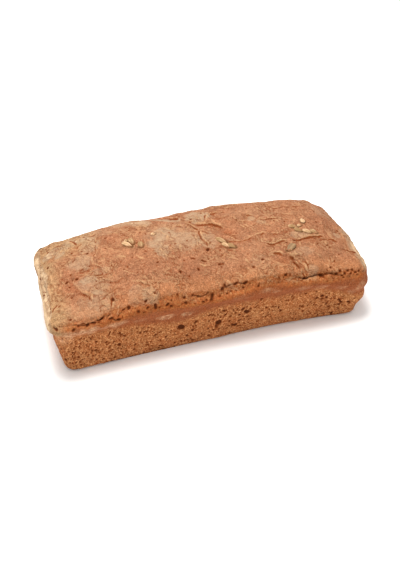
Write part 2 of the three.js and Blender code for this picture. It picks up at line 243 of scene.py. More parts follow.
# Bare hollows of the top's skin: middle in plan, half sizes along and across, turn in degrees, depth
HOLLOWS = (
    (29, -1, 5, 9, 20, 0.9), (5, 21, 9, 4, -35, 0.8), (18, 13, 7, 3.5, -35, 0.5), (-111, 22, 7, 5, 20, 1.2),
    (2.5, -19, 2.6, 2.4, 0, 1.0), (48, -43, 2.4, 1.8, 0, 0.7), (88, 3, 1.8, 1.6, 0, 0.6),
    (-136, 23, 5, 4, 40, 0.7), (68, -50, 8, 4, -20, 0.5), (104, -29, 14, 3, 0, 0.4),
    (62, -30, 9, 3, 0, 0.4), (-106, -17, 8, 4, 10, 0.3), (-124, -33, 8, 8, 0, 0.3), (38, -18, 8, 3, 0, 0.4),
    (-4, 8, 4, 8, 15, 0.5), (-90, -50, 7, 8, 0, 0.3),
)

# Open bubbles of the top: middle in plan, radius, length, turn in degrees
TOP_HOLES = (
    (-104, 7, 1.2, 0, 0), (-108, 13, 0.9, 0, 0), (-128, -22, 0.8, 2, 30), (-127, -29, 0.9, 0, 0),
    (-119, -22, 0.9, 1, 0), (-123, -15, 0.8, 0, 0), (-141, 12, 0.9, 2, 90), (-127, -42, 0.8, 0, 0),
    (-93, -54, 1.3, 1, 90), (-14, -29, 0.7, 3, -30), (-22, -30, 0.7, 0, 0), (-5, -33, 0.7, 4, -35),
    (0, -32, 0.7, 0, 0), (8, -40, 0.9, 1, 0), (11, -40, 0.8, 0, 0), (9, -43, 0.7, 0, 0),
    (-12, -42, 1.0, 1, 90), (-29, -42, 1.0, 1, 90), (-46, -27, 0.8, 1, 20), (-53, -8, 0.8, 0, 0),
    (-77, -26, 0.8, 0, 0), (-86, -17, 0.7, 0, 0), (3, -19, 1.5, 1, 60), (47, -44, 0.9, 1, 0),
    (37, -50, 0.8, 1, 0), (76, 11, 0.9, 0, 0), (86, 3, 1.0, 0, 0), (119, 1, 0.9, 0, 0),
    (124, 24, 0.7, 0, 0), (108, 29, 0.7, 0, 0), (136, -11, 0.9, 0, 0), (114, -36, 0.7, 0, 0),
    (116, -39, 0.7, 0, 0), (109, -59, 0.9, 0, 0), (105, -61, 0.7, 0, 0), (-25, -6, 0.6, 0, 0),
    (85, -26, 0.9, 1, -20), (76, -28, 0.8, 1, 20),
)

# Open bubbles of the front: place along it and above the torn crease, radius, length, turn in degrees
FRONT_HOLES = (
    (-122, 0, 1.0, 2, 10), (-118, -3, 1.3, 1, 30), (-113, -2, 1.3, 2, -15), (-107, 0, 0.9, 3, 10),
    (-98, -3, 0.9, 3, -20), (-91, -6, 0.9, 2, -20), (-126, -3, 0.8, 1, 0), (-131, -5, 0.9, 1, 40),
    (-81, 2, 1.1, 2, 90), (-73, -5, 1.5, 0, 0), (-65, -4, 0.9, 1, 0), (-58, -5, 1.2, 3, 80),
    (-66, 3, 0.9, 1, 0), (-47, -4, 1.0, 2, 40), (-44, -6, 1.0, 1, 0), (-37, 3, 0.9, 0, 0),
    (-31, 1, 1.0, 1, 30), (-30, -4, 0.9, 2, 90), (-14, -4, 0.8, 1, 0), (-11, -3, 0.9, 0, 0),
    (-7, -4, 0.9, 1, 0), (-5, -1, 1.0, 2, 60), (1, -2, 0.8, 1, 0), (4, 3, 1.1, 1, 0), (7, 5, 0.9, 0, 0),
    (17, 4, 1.0, 2, 20), (26, 3, 1.1, 2, 10), (37, -3, 0.9, 1, 0), (64, 3, 0.8, 1, 0), (68, 3, 0.7, 0, 0),
    (82, 1, 1.0, 1, 0), (99, 1, 1.0, 3, 0), (113, 2, 0.9, 1, 0), (117, 4, 1.1, 1, 20), (121, 2, 1.0, 1, 60),
    (125, 4, 0.8, 1, 0), (127, 1, 0.9, 1, 30), (132, 2, 1.0, 1, 0), (118, 0, 0.7, 1, 0),
    (123, -1, 0.7, 1, 40), (129, 4, 0.7, 1, 0), (130, -1, 0.7, 1, -30), (134, -2, 0.8, 2, 20),
    (136, 3, 0.8, 1, 0), (139, 0, 0.9, 2, -40), (142, -3, 0.8, 1, 30), (-146, -5, 1.3, 1, 0),
    (-34, -35, 2.4, 2, -20), (1, -36, 2.3, 1, 0), (17, -46, 1.0, 4, -25), (6, -23, 1.0, 2, -20),
    (24, -28, 1.0, 1, 70), (28, -33, 1.9, 2, -40), (42, -22, 0.8, 1, 0), (102, -26, 1.1, 1, 0),
    (107, -28, 1.0, 1, -20), (121, -35, 0.9, 6, -55), (130, -37, 1.1, 1, 0), (-20, -30, 0.9, 2, 60),
    (-58, -40, 1.1, 1, 20), (-92, -38, 1.0, 1, 0), (62, -40, 1.0, 1, 80),
)

# Cracks of the front, in the same measures: path, half width, depth
FRONT_CRACKS = (
    (((-132, 1), (-126, -2), (-118, -2), (-112, -1)), 0.8, 1.3),
    (((-110, 1), (-107, 0), (-102, 1)), 0.8, 1.3),
    (((-99, -3), (-95, -5), (-89, -7)), 0.7, 1.2),
    (((-147, -4), (-140, 1), (-133, 1)), 0.7, 0.9),
    (((3, 4), (12, 4), (19, 4), (27, 3), (34, 1)), 0.7, 0.8),
    (((70, 2), (82, 1), (90, 1), (97, 1), (106, 2), (114, 1), (121, -1)), 0.9, 1.8),
    (((-24, 2), (-14, 0), (-6, 2)), 0.6, 0.7),
)

# Pale smudges of the lip: place along the front and height above the base, half sizes, strength
LIP_SMUDGES = (
    (-47, 41.5, 9, 2.6, 0.85), (-29, 40.5, 6, 2.4, 0.7), (-119, 49.5, 11, 3.0, 0.95),
    (-135, 51, 8, 2.6, 0.8), (-126, 48, 26, 6.0, 0.75), (-94, 47, 13, 4.5, 0.8), (-140, 42, 10, 9.0, 0.5),
    (45, 53, 7, 3.2, 0.45), (54, 50, 5, 3.0, 0.3), (20, 50, 10, 3.5, 0.15), (-72, 45, 8, 3.0, 0.3),
    (80, 47, 9, 4.0, 0.3), (98, 44, 7, 3.5, 0.35), (118, 40, 6, 4.0, 0.3), (139, 40, 5, 6.0, 0.4),
    (132, 33, 6, 4.0, 0.3),
)

# Smudges, and the front's holes and cracks, lie where y is below these
SMUDGED_SIDE, FRONT_SIDE = -30.0, -35.0

# Scattered pits: spacing of their lattice, smallest and largest radius, share of its squares that hold
# one, and which of its random values they take
SMALL_PITS = (4.4, 0.50, 0.95, 0.8, 1.0)
LARGE_PITS = (12.0, 0.8, 1.3, 0.5, 2.0)
TOP_PITS = (10.0, 0.4, 0.8, 0.45, 3.0)
STRIP_BUBBLES = (4.2, 0.4, 1.0, 0.35, 4.0)
PIT_SLOPE = 1.4
PIT_FADE = 2.5  # how far a pit's edge is pushed off where its mask is nothing
PIT_RANGE = 3.0  # distances to a pit are kept up to this
NO_PIT = 9.0  # distance where none is near

# Depths of the open crack along the crease, of the dips round the kernels and of the skin's seams
CRACK_DEPTH, SOCKET_DEPTH, SEAM_DEPTH = 1.3, 0.7, 0.6

# Torn strip: how far it reaches above and below the crease, and where it reaches lower
STRIP_UP, STRIP_DOWN = 3.3, 4.0
STRIP_LOWER, STRIP_LOWER_AT, STRIP_LOWER_REACH = 3.5, -55.0, 45.0

# Fine wrinkles of the skin: heading in degrees and size, and how far they are drawn out
WRINKLE_HEADINGS = ((-60, 6.0), (-20, 7.0), (-100, 5.0))
WRINKLE_STRETCH = 2.8

# Pores of the flank: spacing and widest reach, as a share of it
PORES = ((5.2, 0.25), (3.3, 0.27), (2.3, 0.27))

# Where the smooth band under the lip reaches lower: middle along the front, reach, by how much
SMOOTH_BANDS = ((-32, 36, 8.0), (115, 30, 2.0))

# Patches where dusting flour stayed: middle in plan, half sizes along and across, turn in degrees, strength
FLOUR_PATCHES = (
    (-22, 8, 32, 30, -20, 0.30), (-30, 13, 9, 10, 0, 0.55), (-39, -10, 8, 15, 15, 0.6),
    (-14, -4, 16, 12, 0, 0.4), (-47, 42, 12, 8, -25, 0.85), (-64, 50, 18, 7, -10, 0.5),
    (-22, 40, 16, 5, -20, 0.75), (8, 35, 12, 9, 0, 0.78), (8, -8, 8, 13, 0, 0.35),
    (-112, -3, 12, 11, 0, 0.5), (-116, -57, 19, 10, -3, 0.3), (-102, -51, 10, 9, 0, 0.3),
    (-106, -33, 15, 9, -15, 0.45), (-109, -27, 8, 5, -20, 0.5), (-100, 20, 10, 15, 0, 0.5),
    (-131, 31, 8, 7, 0, 0.8), (-118, 33, 9, 8, 0, 0.5), (-128, 22, 7, 4, 30, 0.8),
    (-106, 33, 8, 4, 15, 0.8), (-97, 30, 6, 5, 0, 0.7), (-139, 30, 5, 5, 0, 0.8),
    (-96, -20, 8, 4, -10, 0.4), (-148, -5, 5, 26, 0, 0.95), (-151, -42, 5, 20, 0, 0.95),
    (-90, 40, 20, 8, -10, 0.35), (95, -18, 11, 5, 0, 0.5), (91, -58, 6, 5, 0, 0.4), (64, 8, 6, 5, 0, 0.5),
    (57, 17, 5, 4, 0, 0.5), (86, -41, 13, 6, 0, 0.35), (131, -20, 6, 5, 0, 0.5), (-59, -57, 7, 7, 0, 0.5),
    (-73, -54, 9, 9, 0, 0.3), (144, -30, 7, 30, 0, 0.4), (132, 24, 14, 10, -40, 0.3),
    (45, -47, 12, 9, -30, 0.25), (60, 28, 30, 12, -5, 0.2), (40, -20, 30, 16, -20, 0.15),
)

# Kernels: place in plan, way they point in degrees, length, width, share standing proud
SUNFLOWER_KERNELS = (
    (-67, 7, -48, 11.8, 6.0, 0.58), (-62, 11, -80, 10.0, 5.4, 0.51), (-66, 14, 36, 5.0, 3.6, 0.47),
    (-55, 3, -98, 9.6, 5.6, 0.51), (-40, 16, 40, 5.5, 4.6, 0.31), (18, -12, -50, 12.4, 5.8, 0.55),
    (20, -19, -56, 9.0, 5.2, 0.51), (25, -21, -47, 9.4, 5.0, 0.58), (104, 2, 75, 8.4, 5.6, 0.62),
    (91, -6, -9, 9.8, 5.0, 0.43), (98, -5, 12, 5.0, 3.6, 0.43), (94, -12, -40, 8.6, 5.4, 0.58),
    (102, -15, -34, 9.6, 5.6, 0.55), (109, -15, -47, 8.8, 5.8, 0.39),
)
PUMPKIN_KERNELS = ((78, -35, 220, 14.6, 6.8, 0.45),)

# Thickness of the kernels as a share of their width, and how toasted they are in turn
SUNFLOWER_THICK, SUNFLOWER_TOAST = 0.45, (0.2, 0.5, 0.3, 0.7)
PUMPKIN_THICK, PUMPKIN_TOAST = 0.35, (0.5,)
KERNEL_AROUND, KERNEL_ALONG = 28, 18  # cells of a kernel's mesh
KERNEL_GROOVE_WIDTH, KERNEL_GROOVE_DEPTH = 0.7, 0.35
KERNEL_BEARING = 3.0  # reach of the crust that a kernel lies on
FACES_UP = 0.3  # least upward part of that crust's normals


def linear(hex_colour):
    """An sRGB hex colour as linear red, green, blue, alpha."""
    values = [int(hex_colour[i:i + 2], 16) / 255 for i in (1, 3, 5)]
    return tuple(v / 12.92 if v <= 0.04045 else ((v + 0.055) / 1.055) ** 2.4 for v in values) + (1.0,)


# ---------------------------------------------------------------- the loaf's plain form

def ease(t):
    """0 below zero, 1 above one, 3t^2 - 2t^3 between."""
    t = np.clip(t, 0, 1)
    return t * t * (3 - 2 * t)


def bell(t, middle, width):
    """exp(-d^2), where d is the distance from the middle in widths."""
    return np.exp(-((t - middle) / width) ** 2)


def turned(x, y, middle_x, middle_y, turn):
    """Distances from a middle, along and across a heading in degrees."""
    c, s = math.cos(math.radians(turn)), math.sin(math.radians(turn))
    return (x - middle_x) * c + (y - middle_y) * s, (y - middle_y) * c - (x - middle_x) * s


def swell(x, y):
    """A slow cosine wave that runs round the lip."""
    return np.cos(2 * np.pi * ((x - SWELL_CREST) / SWELL_PITCH - (y + HALF_WIDTH) / SWELL_SKEW))


def crease_height(x, y):
    """Height of the torn crease: the wave, lower over the right end."""
    return CREASE_HEIGHT + SWELL_RISE * swell(x, y) - RIGHT_DROP * ease((x - END_START) / END_RUN)


def lip_height(x, y):
    """Height of the bead below the crease: the wave again, taller at the right end, lower at the left."""
    swelled = SWELL_TALL * swell(x, y) * ease((x + HALF_LENGTH) / SWELL_LEAD_IN)
    right = RIGHT_TALLER * ease((x - END_START) / END_RUN)
    left = LEFT_SHORTER * ease((-x - END_START) / END_RUN)
    return LIP_TALL + swelled + right - left


def rounded_plan(a, b, half_x, half_y, radius):
    """The square [-1, 1]^2 scaled to a rectangle, its corners squeezed onto arcs of the radius."""
    x, y = a * half_x, b * half_y
    inner_x = np.clip(x, radius - half_x, half_x - radius)
    inner_y = np.clip(y, radius - half_y, half_y - radius)
    dx, dy = x - inner_x, y - inner_y
    squeeze = np.maximum(np.abs(dx), np.abs(dy)) / np.maximum(np.hypot(dx, dy), 1e-9)
    return inner_x + dx * squeeze, inner_y + dy * squeeze


def bead_profile(t):
    """The lip's section: eased up to its fullest, then a parabola in to the crease."""
    over = np.clip((t - LIP_FULLEST) / (1 - LIP_FULLEST), 0, 1)
    return np.where(t < LIP_FULLEST, ease(t / LIP_FULLEST), 1 - (1 - LIP_AT_CREASE) * over ** 2)


def wall_points(a, b, share, on_lip):
    """Points of the wall: share 0 to 1 up the flank, or up the lip where on_lip is 1.

    The plan is a rounded rectangle that grows with the taper and the bead's profile and
    shrinks by a quarter circle at the base edge.
    """
    x, y = a * HALF_LENGTH, b * HALF_WIDTH
    crease, lip = crease_height(x, y), lip_height(x, y)
    foot = crease - lip
    z = np.where(on_lip > 0, foot + share * lip, share * foot)
    bead = LIP_OUT * bead_profile(np.clip((z - foot) / lip, 0, 1))
    edge = BASE_EDGE * (1 - np.sqrt(1 - np.clip(1 - z / BASE_EDGE, 0, 1) ** 2))
    up = np.clip(z / foot, 0, 1)
    sway = np.where(b < 0, FRONT_SWAY * np.sin(2 * np.pi * x / FRONT_SWAY_PITCH), 0)
    half_x = HALF_LENGTH - LIP_OUT - TAPER_END * (1 - up) + bead - edge
    half_y = HALF_WIDTH - LIP_OUT - (TAPER_SIDE + sway) * (1 - up) + bead - edge
    plan = rounded_plan(a, b, half_x, half_y, BASE_CORNER + (LIP_CORNER - BASE_CORNER) * up)
    return np.stack([*plan, z], -1)


def fall(t, toward_low, toward_high):
    """(1 - |t|^power)^soft, with its own power and softness on each side."""
    low, high = [np.maximum(1 - np.abs(t) ** p, 0) ** s for p, s in (toward_low, toward_high)]
    return np.where(t < 0, low, high)


def dome_points(a, b):
    """Points of the top: plan as the wall's at the crease, height from the crease up to the crown."""
    inset = LIP_OUT * (1 - LIP_AT_CREASE)
    plan = rounded_plan(a, b, HALF_LENGTH - inset, HALF_WIDTH - inset, LIP_CORNER)
    full = fall(a, FALL_LEFT, FALL_RIGHT) * fall(b, FALL_FRONT, FALL_BACK)
    rim = crease_height(a * HALF_LENGTH, b * HALF_WIDTH)
    return np.stack([*plan, rim + (CREASE_HEIGHT + DOME_RISE - rim) * full], -1)


def lean_out(p):
    """Bends the plan by powers of x, bows and lowers the ends, and shifts two corners of the lip."""
    x, y, z = p[..., 0], p[..., 1], p[..., 2]
    right, left = np.maximum(x / HALF_LENGTH, 0), np.maximum(-x / HALF_LENGTH, 0)
    height = z / (CREASE_HEIGHT + DOME_RISE)
    bend = BEND_RIGHT[0] * right ** BEND_RIGHT[1] + BEND_LEFT[0] * left ** BEND_LEFT[1]
    bow = BOW_RIGHT * ease((right - BOW_START) / BOW_RUN) - BOW_LEFT * ease((left - BOW_START) / BOW_RUN)
    on_lip = ease((z - (CREASE_HEIGHT - LIP_TALL - ABOVE_FLANK)) / ABOVE_FLANK_RUN)
    ear = on_lip * np.exp(-((x + HALF_LENGTH) ** 2 + (y + HALF_WIDTH) ** 2) / EAR_REACH ** 2)
    tuck = on_lip * np.exp(-((x - HALF_LENGTH) ** 2 + (y + HALF_WIDTH) ** 2) / TUCK_REACH ** 2)
    return np.stack([
        x + bow * (1 - (y / HALF_WIDTH) ** 2) - EAR_OUT * ear - TUCK_OUT * tuck,
        y - bend - EAR_OUT * EAR_SIDE * ear,
        z - height * END_DIP * (right + left) ** 2,
    ], -1)


# ---------------------------------------------------------------- repeatable randomness

# Frequencies and gain of the wave whose fraction serves as a random value
WAVE_I, WAVE_J, WAVE_K = 127.1, 311.7, 74.7
WAVE_GAIN = 43758.5453


def lattice_value(i, j, k):
    """A repeatable value from -1 to 1 for each corner of a unit lattice."""
    wave = np.sin(i * WAVE_I + j * WAVE_J + k * WAVE_K) * WAVE_GAIN
    return 2 * (wave - np.floor(wave)) - 1


def noise(p, size, shift=0.0):
    """Lattice values blended with ease: bumps about one size across, from -1 to 1."""
    q = p / size + shift
    cell = np.floor(q)
    blend = ease(q - cell)
    total = np.zeros(p.shape[:-1])
    for step in itertools.product((0, 1), repeat=3):
        weight = np.prod(np.where(step, blend, 1 - blend), -1)
        corner = cell + step
        total += weight * lattice_value(corner[..., 0], corner[..., 1], corner[..., 2])
    return total


def layered(p, *layers):
    """Noises added up, each given as its size, height and shift."""
    return sum(height * noise(p, size, shift) for size, height, shift in layers)


def pits(u, v, spacing, smallest, largest, share, shift, around=None):
    """Distance to the edge of the nearest pit, negative inside it.

    Each square of a lattice over the surface may hold one pit. Its place, radius, stretch and
    turn, and whether it is there at all, come from the square's lattice values. Where around
    is given, the lattice closes on itself after that length of u.
    """
    columns = max(round(around / spacing), 1) if around else None
    step_u = around / columns if around else spacing
    i0, j0 = np.floor(u / step_u), np.floor(v / spacing)
    nearest = np.full(u.shape, NO_PIT)
    for di, dj in itertools.product((-1, 0, 1), repeat=2):
        column, row = i0 + di, j0 + dj
        i = np.mod(column, columns) if around else column
        draw = [0.5 + 0.5 * lattice_value(i + 5 * n, row + 3 * n, shift) for n in range(6)]
        du = u - (column + 0.1 + 0.8 * draw[0]) * step_u
        dv = v - (row + 0.1 + 0.8 * draw[1]) * spacing
        c, s = np.cos(np.pi * draw[2]), np.sin(np.pi * draw[2])
        stretch = 1 + 0.9 * draw[3] ** 2
        d = np.hypot((du * c + dv * s) / stretch, (dv * c - du * s) * np.sqrt(stretch))
        radius = smallest + (largest - smallest) * draw[5] ** 2
        nearest = np.minimum(nearest, np.where(draw[4] < share, d - radius, NO_PIT))
    return nearest


def perimeter(a, b):
    """Length round the rectangle, from its front left corner, of the rim point outward of (a, b)."""
    m = np.maximum(np.maximum(np.abs(a), np.abs(b)), 1e-9)
    a, b = a / m, b / m
    front, right, back = b <= -1 + 1e-9, a >= 1 - 1e-9, b >= 1 - 1e-9
    return np.select(
        [front, right, back],
        [(a + 1) * HALF_LENGTH,
         2 * HALF_LENGTH + (b + 1) * HALF_WIDTH,
         2 * (HALF_LENGTH + HALF_WIDTH) + (1 - a) * HALF_LENGTH],
        4 * HALF_LENGTH + 2 * HALF_WIDTH + (1 - b) * HALF_WIDTH)


def path_distance(x, y, path):
    """Signed distance to a path of straight runs, positive on its left, and the share of the path there."""
    points = np.array(path, float)
    runs = np.linalg.norm(np.diff(points, axis=0), axis=1)
    start = np.concatenate([[0], np.cumsum(runs)])
    nearest = np.full(x.shape, np.inf)
    side = np.zeros(x.shape)
    along = np.zeros(x.shape)
    for (x0, y0), (x1, y1), run, before in zip(points[:-1], points[1:], runs, start):
        ux, uy = (x1 - x0) / run, (y1 - y0) / run
        t = np.clip((x - x0) * ux + (y - y0) * uy, 0, run)
        dx, dy = x - x0 - t * ux, y - y0 - t * uy
        d = np.hypot(dx, dy)
        closer = d < nearest
        nearest = np.where(closer, d, nearest)
        side = np.where(closer, np.sign(ux * dy - uy * dx), side)
        along = np.where(closer, (before + t) / start[-1], along)
    return nearest * np.where(side == 0, 1, side), along


def ends_fade(along):
    """Eases from nothing at both ends of a path, given the share along it, to full an eighth of the way."""
    return ease(8 * along) * ease(8 * (1 - along))


def listed_holes(u, v, places):
    """Distance to the edge of the nearest listed hole, negative inside: slots with round ends."""
    nearest = np.full(u.shape, NO_PIT)
    for middle_u, middle_v, radius, length, turn in places:
        along, across = turned(u, v, middle_u, middle_v, turn)
        away = np.hypot(np.maximum(np.abs(along) - length / 2, 0), across) - radius
        nearest = np.minimum(nearest, away)
    return nearest


# ---------------------------------------------------------------- the crust's mesh

def even_steps(cells, curve):
    """Parameters from -1 to 1 that cut a curve, a function of such an array, into equal lengths."""
    t = np.linspace(-1, 1, CURVE_SAMPLES)
    lengths = np.linalg.norm(np.diff(curve(t), axis=0), axis=-1)
    travelled = np.concatenate([[0], np.cumsum(lengths)])
    return np.interp(np.linspace(0, travelled[-1], cells + 1), travelled, t)


def box_skin():
    """A closed skin over a box: its vertices' parameters and its faces.

    The top is a grid, the wall is rows of one loop that shares its uppermost row with the
    top's rim, and the base is a coarser grid joined to the lowest row by many-sided faces.
    """
    a = even_steps(CELLS_LONG, lambda t: dome_points(t, 0 * t))
    b = even_steps(CELLS_ACROSS, lambda t: dome_points(0 * t, t))
    na, nb, k = CELLS_LONG, CELLS_ACROSS, BASE_COARSER
    top_a, top_b = [g.ravel() for g in np.meshgrid(a, b, indexing="ij")]

    def loop_of(count_a, count_b):
        """Rows and columns of a grid's rim, anticlockwise from above."""
        i = np.concatenate([np.arange(count_a), np.full(count_b, count_a),
                            np.arange(count_a, 0, -1), np.zeros(count_b, int)])
        j = np.concatenate([np.zeros(count_a, int), np.arange(count_b),
                            np.full(count_a, count_b), np.arange(count_b, 0, -1)])
        return i * (count_b + 1) + j

    def grid_faces(count_a, count_b):
        """Quads of a grid, facing up."""
        i, j = np.meshgrid(np.arange(count_a), np.arange(count_b), indexing="ij")
        first = (i * (count_b + 1) + j).ravel()
        return np.stack([first, first + count_b + 1, first + count_b + 2, first + 1], -1)

    rim = loop_of(na, nb)
    ring = len(rim)
    rows = CELLS_FLANK + CELLS_LIP
    bead = even_steps(CELLS_LIP, lambda t: np.stack([
        LIP_OUT * bead_profile(t / 2 + 0.5), LIP_TALL * (t / 2 + 0.5)], -1)) / 2 + 0.5
    share = np.concatenate([np.linspace(0, 1, CELLS_FLANK + 1) ** FLANK_CROWDING, bead[1:-1]])
    on_lip = (np.arange(rows) > CELLS_FLANK).astype(float)
    wall_a = np.tile(top_a[rim], rows)
    wall_b = np.tile(top_b[rim], rows)
    wall_first = len(top_a)
    base_a, base_b = [g.ravel() for g in np.meshgrid(a[::k], b[::k], indexing="ij")]
    base_first = wall_first + rows * ring

    level = np.concatenate([wall_first + np.arange(rows)[:, None] * ring + np.arange(ring), rim[None]])
    lower, upper = level[:-1], level[1:]
    wall = np.stack([lower, np.roll(lower, -1, 1), np.roll(upper, -1, 1), upper], -1).reshape(-1, 4)
    base = base_first + grid_faces(na // k, nb // k)[:, ::-1]
    base_rim = base_first + loop_of(na // k, nb // k)
    fine = level[0]
    joins = [
        [*fine[np.arange(k * (n + 1), k * n - 1, -1) % ring], base_rim[n], base_rim[(n + 1) % len(base_rim)]]
        for n in range(len(base_rim))
    ]
    quads = np.concatenate([grid_faces(na, nb), wall, base])
    parts = {
        "top": (top_a, top_b),
        "wall": (wall_a, wall_b, np.repeat(share, ring), np.repeat(on_lip, ring)),
        "base": (base_a, base_b),
    }
    return parts, quads, joins


def outward(p, quads):
    """Unit normals of the vertices: the crossed diagonals of the quads round each, summed."""
    cross = np.cross(p[quads[:, 2]] - p[quads[:, 0]], p[quads[:, 3]] - p[quads[:, 1]])
    total = np.zeros_like(p)
    for corner in range(4):
        np.add.at(total, quads[:, corner], cross)
    return total / np.maximum(np.linalg.norm(total, axis=-1, keepdims=True), 1e-12)


def broad_relief(p, top_share, from_crease):
    """The solid's own relief: lumps and broad folds, the groove along the crease, and crags beside it.

    A few places swell out or draw in, each by exp(-d^2) of its distance in its own reaches.
    """
    x, y = p[:, 0], p[:, 1]
    swollen = sum(out * np.exp(-np.sum(((p - place) / reach) ** 2, -1)) for place, reach, out in SWELLINGS)
    top = sum(height * noise(p, size) for size, height in LUMPS)
    for path, width, depth in FOLDS:
        top -= depth * bell(path_distance(x, y, path)[0], 0, width)
    side = sum(height * noise(p, size) for size, height in FLANK_LUMPS)
    groove = -CREASE_DEPTH * bell(from_crease, 0, CREASE_REACH)
    crags = CRAG_HEIGHT * bell(from_crease, 0, CRAG_REACH) * noise(p, CRAG_SIZE)
    return side + (top - side) * top_share + groove + crags + swollen


def lip_smudge(p):
    """How strongly dried dough pales the front's lip: soft ellipses along it, their edges broken by noise."""
    x, y, z = p[:, 0], p[:, 1], p[:, 2]
    ragged = layered(p, (6, 0.35, 2.5), (2.5, 0.30, 7.5))
    clear = np.ones(len(p))
    for middle_x, middle_z, half_x, half_z, strength in LIP_SMUDGES:
        d = np.hypot((x - middle_x) / half_x, (z - middle_z) / half_z)
        clear *= 1 - strength * (y < SMUDGED_SIDE) * ease((1.3 - d - ragged) / 0.9)
    return 1 - clear


def creased_skin(x, y, uneven):
    """The listed creases and wrinkles: millimetres outward, and how strongly painted shade and painted
    highlight lie on them.

    Across a crease, at distance d, the skin rises by 0.6 lift exp(-d / reach) on the raised side
    and drops by 0.8 cut exp(d / 1.3) on the other. A wrinkle is a thin exp(-(d / 0.9)^2). Uneven,
    about 1, deepens and shallows both along their way. The painted shade lies in each crease's cut
    and just below each wrinkle, and the painted highlight on each crease's raised side and along each
    wrinkle.
    """
    out, dark, pale = np.zeros(len(x)), np.zeros(len(x)), np.zeros(len(x))
    for path, lift, reach, cut in CREASES:
        d, along = path_distance(x, y, path)
        raised = ease(0.5 + d / 0.8)
        rise = lift * raised * np.exp(-np.maximum(d, 0) / reach)
        drop = cut * (1 - raised) * np.exp(np.minimum(d, 0) / 1.3)
        out += ends_fade(along) * uneven * (0.6 * rise - 0.8 * drop)
        gapped = ends_fade(along) * np.clip(2.2 * uneven - 1.0, 0, 1.4)
        # Painted shade on the cut side, painted highlight on the raised side
        dark = np.maximum(dark, gapped * min(cut, 1.2) * bell(d, -0.6, 0.35 + 0.4 * cut))
        pale = np.maximum(pale, gapped * min(lift, 0.8) * bell(d, 1.0, 0.4 + 0.3 * lift))
    for path, height in WRINKLES:
        d, along = path_distance(x, y, path)
        wrinkle = ends_fade(along) * uneven * height * bell(d, 0, 0.9)
        out += wrinkle
        pale = np.maximum(pale, wrinkle)
        dark = np.maximum(dark, 0.5 * ends_fade(along) * height * bell(d, -1.6, 0.8))
    return out, dark, pale


def bare_hollows(x, y):
    """The listed hollows: millimetres inward and how bare they are, both exp(-d^2) across an ellipse."""
    depth, bare = np.zeros(len(x)), np.zeros(len(x))
    for middle_x, middle_y, half_x, half_y, turn, deepest in HOLLOWS:
        along, across = turned(x, y, middle_x, middle_y, turn)
        near = np.exp(-((along / half_x) ** 2 + (across / half_y) ** 2))
        depth = np.maximum(depth, deepest * near)
        bare = np.maximum(bare, min(1, 0.3 + deepest) * near)
    return depth, bare


def seed_sockets(x, y):
    """How near each place is to the outline of a kernel: a ring just outside it, strongest at its front, that
    sets both the crust's dip there and its painted shadow.
    """
    ring = np.zeros(len(x))
    for middle_x, middle_y, turn, length, width, _ in SUNFLOWER_KERNELS + PUMPKIN_KERNELS:
        along, across = turned(x, y, middle_x, middle_y, turn)
        gap = (np.hypot(along / (length / 2), across / (width / 2)) - 1) * width / 2
        shaded = 0.5 + 0.5 * np.clip((middle_y - y + 0.3 * (x - middle_x)) / (width / 2), -1, 1)
        ring = np.maximum(ring, shaded * bell(gap, 0.3, 0.7))
    return ring


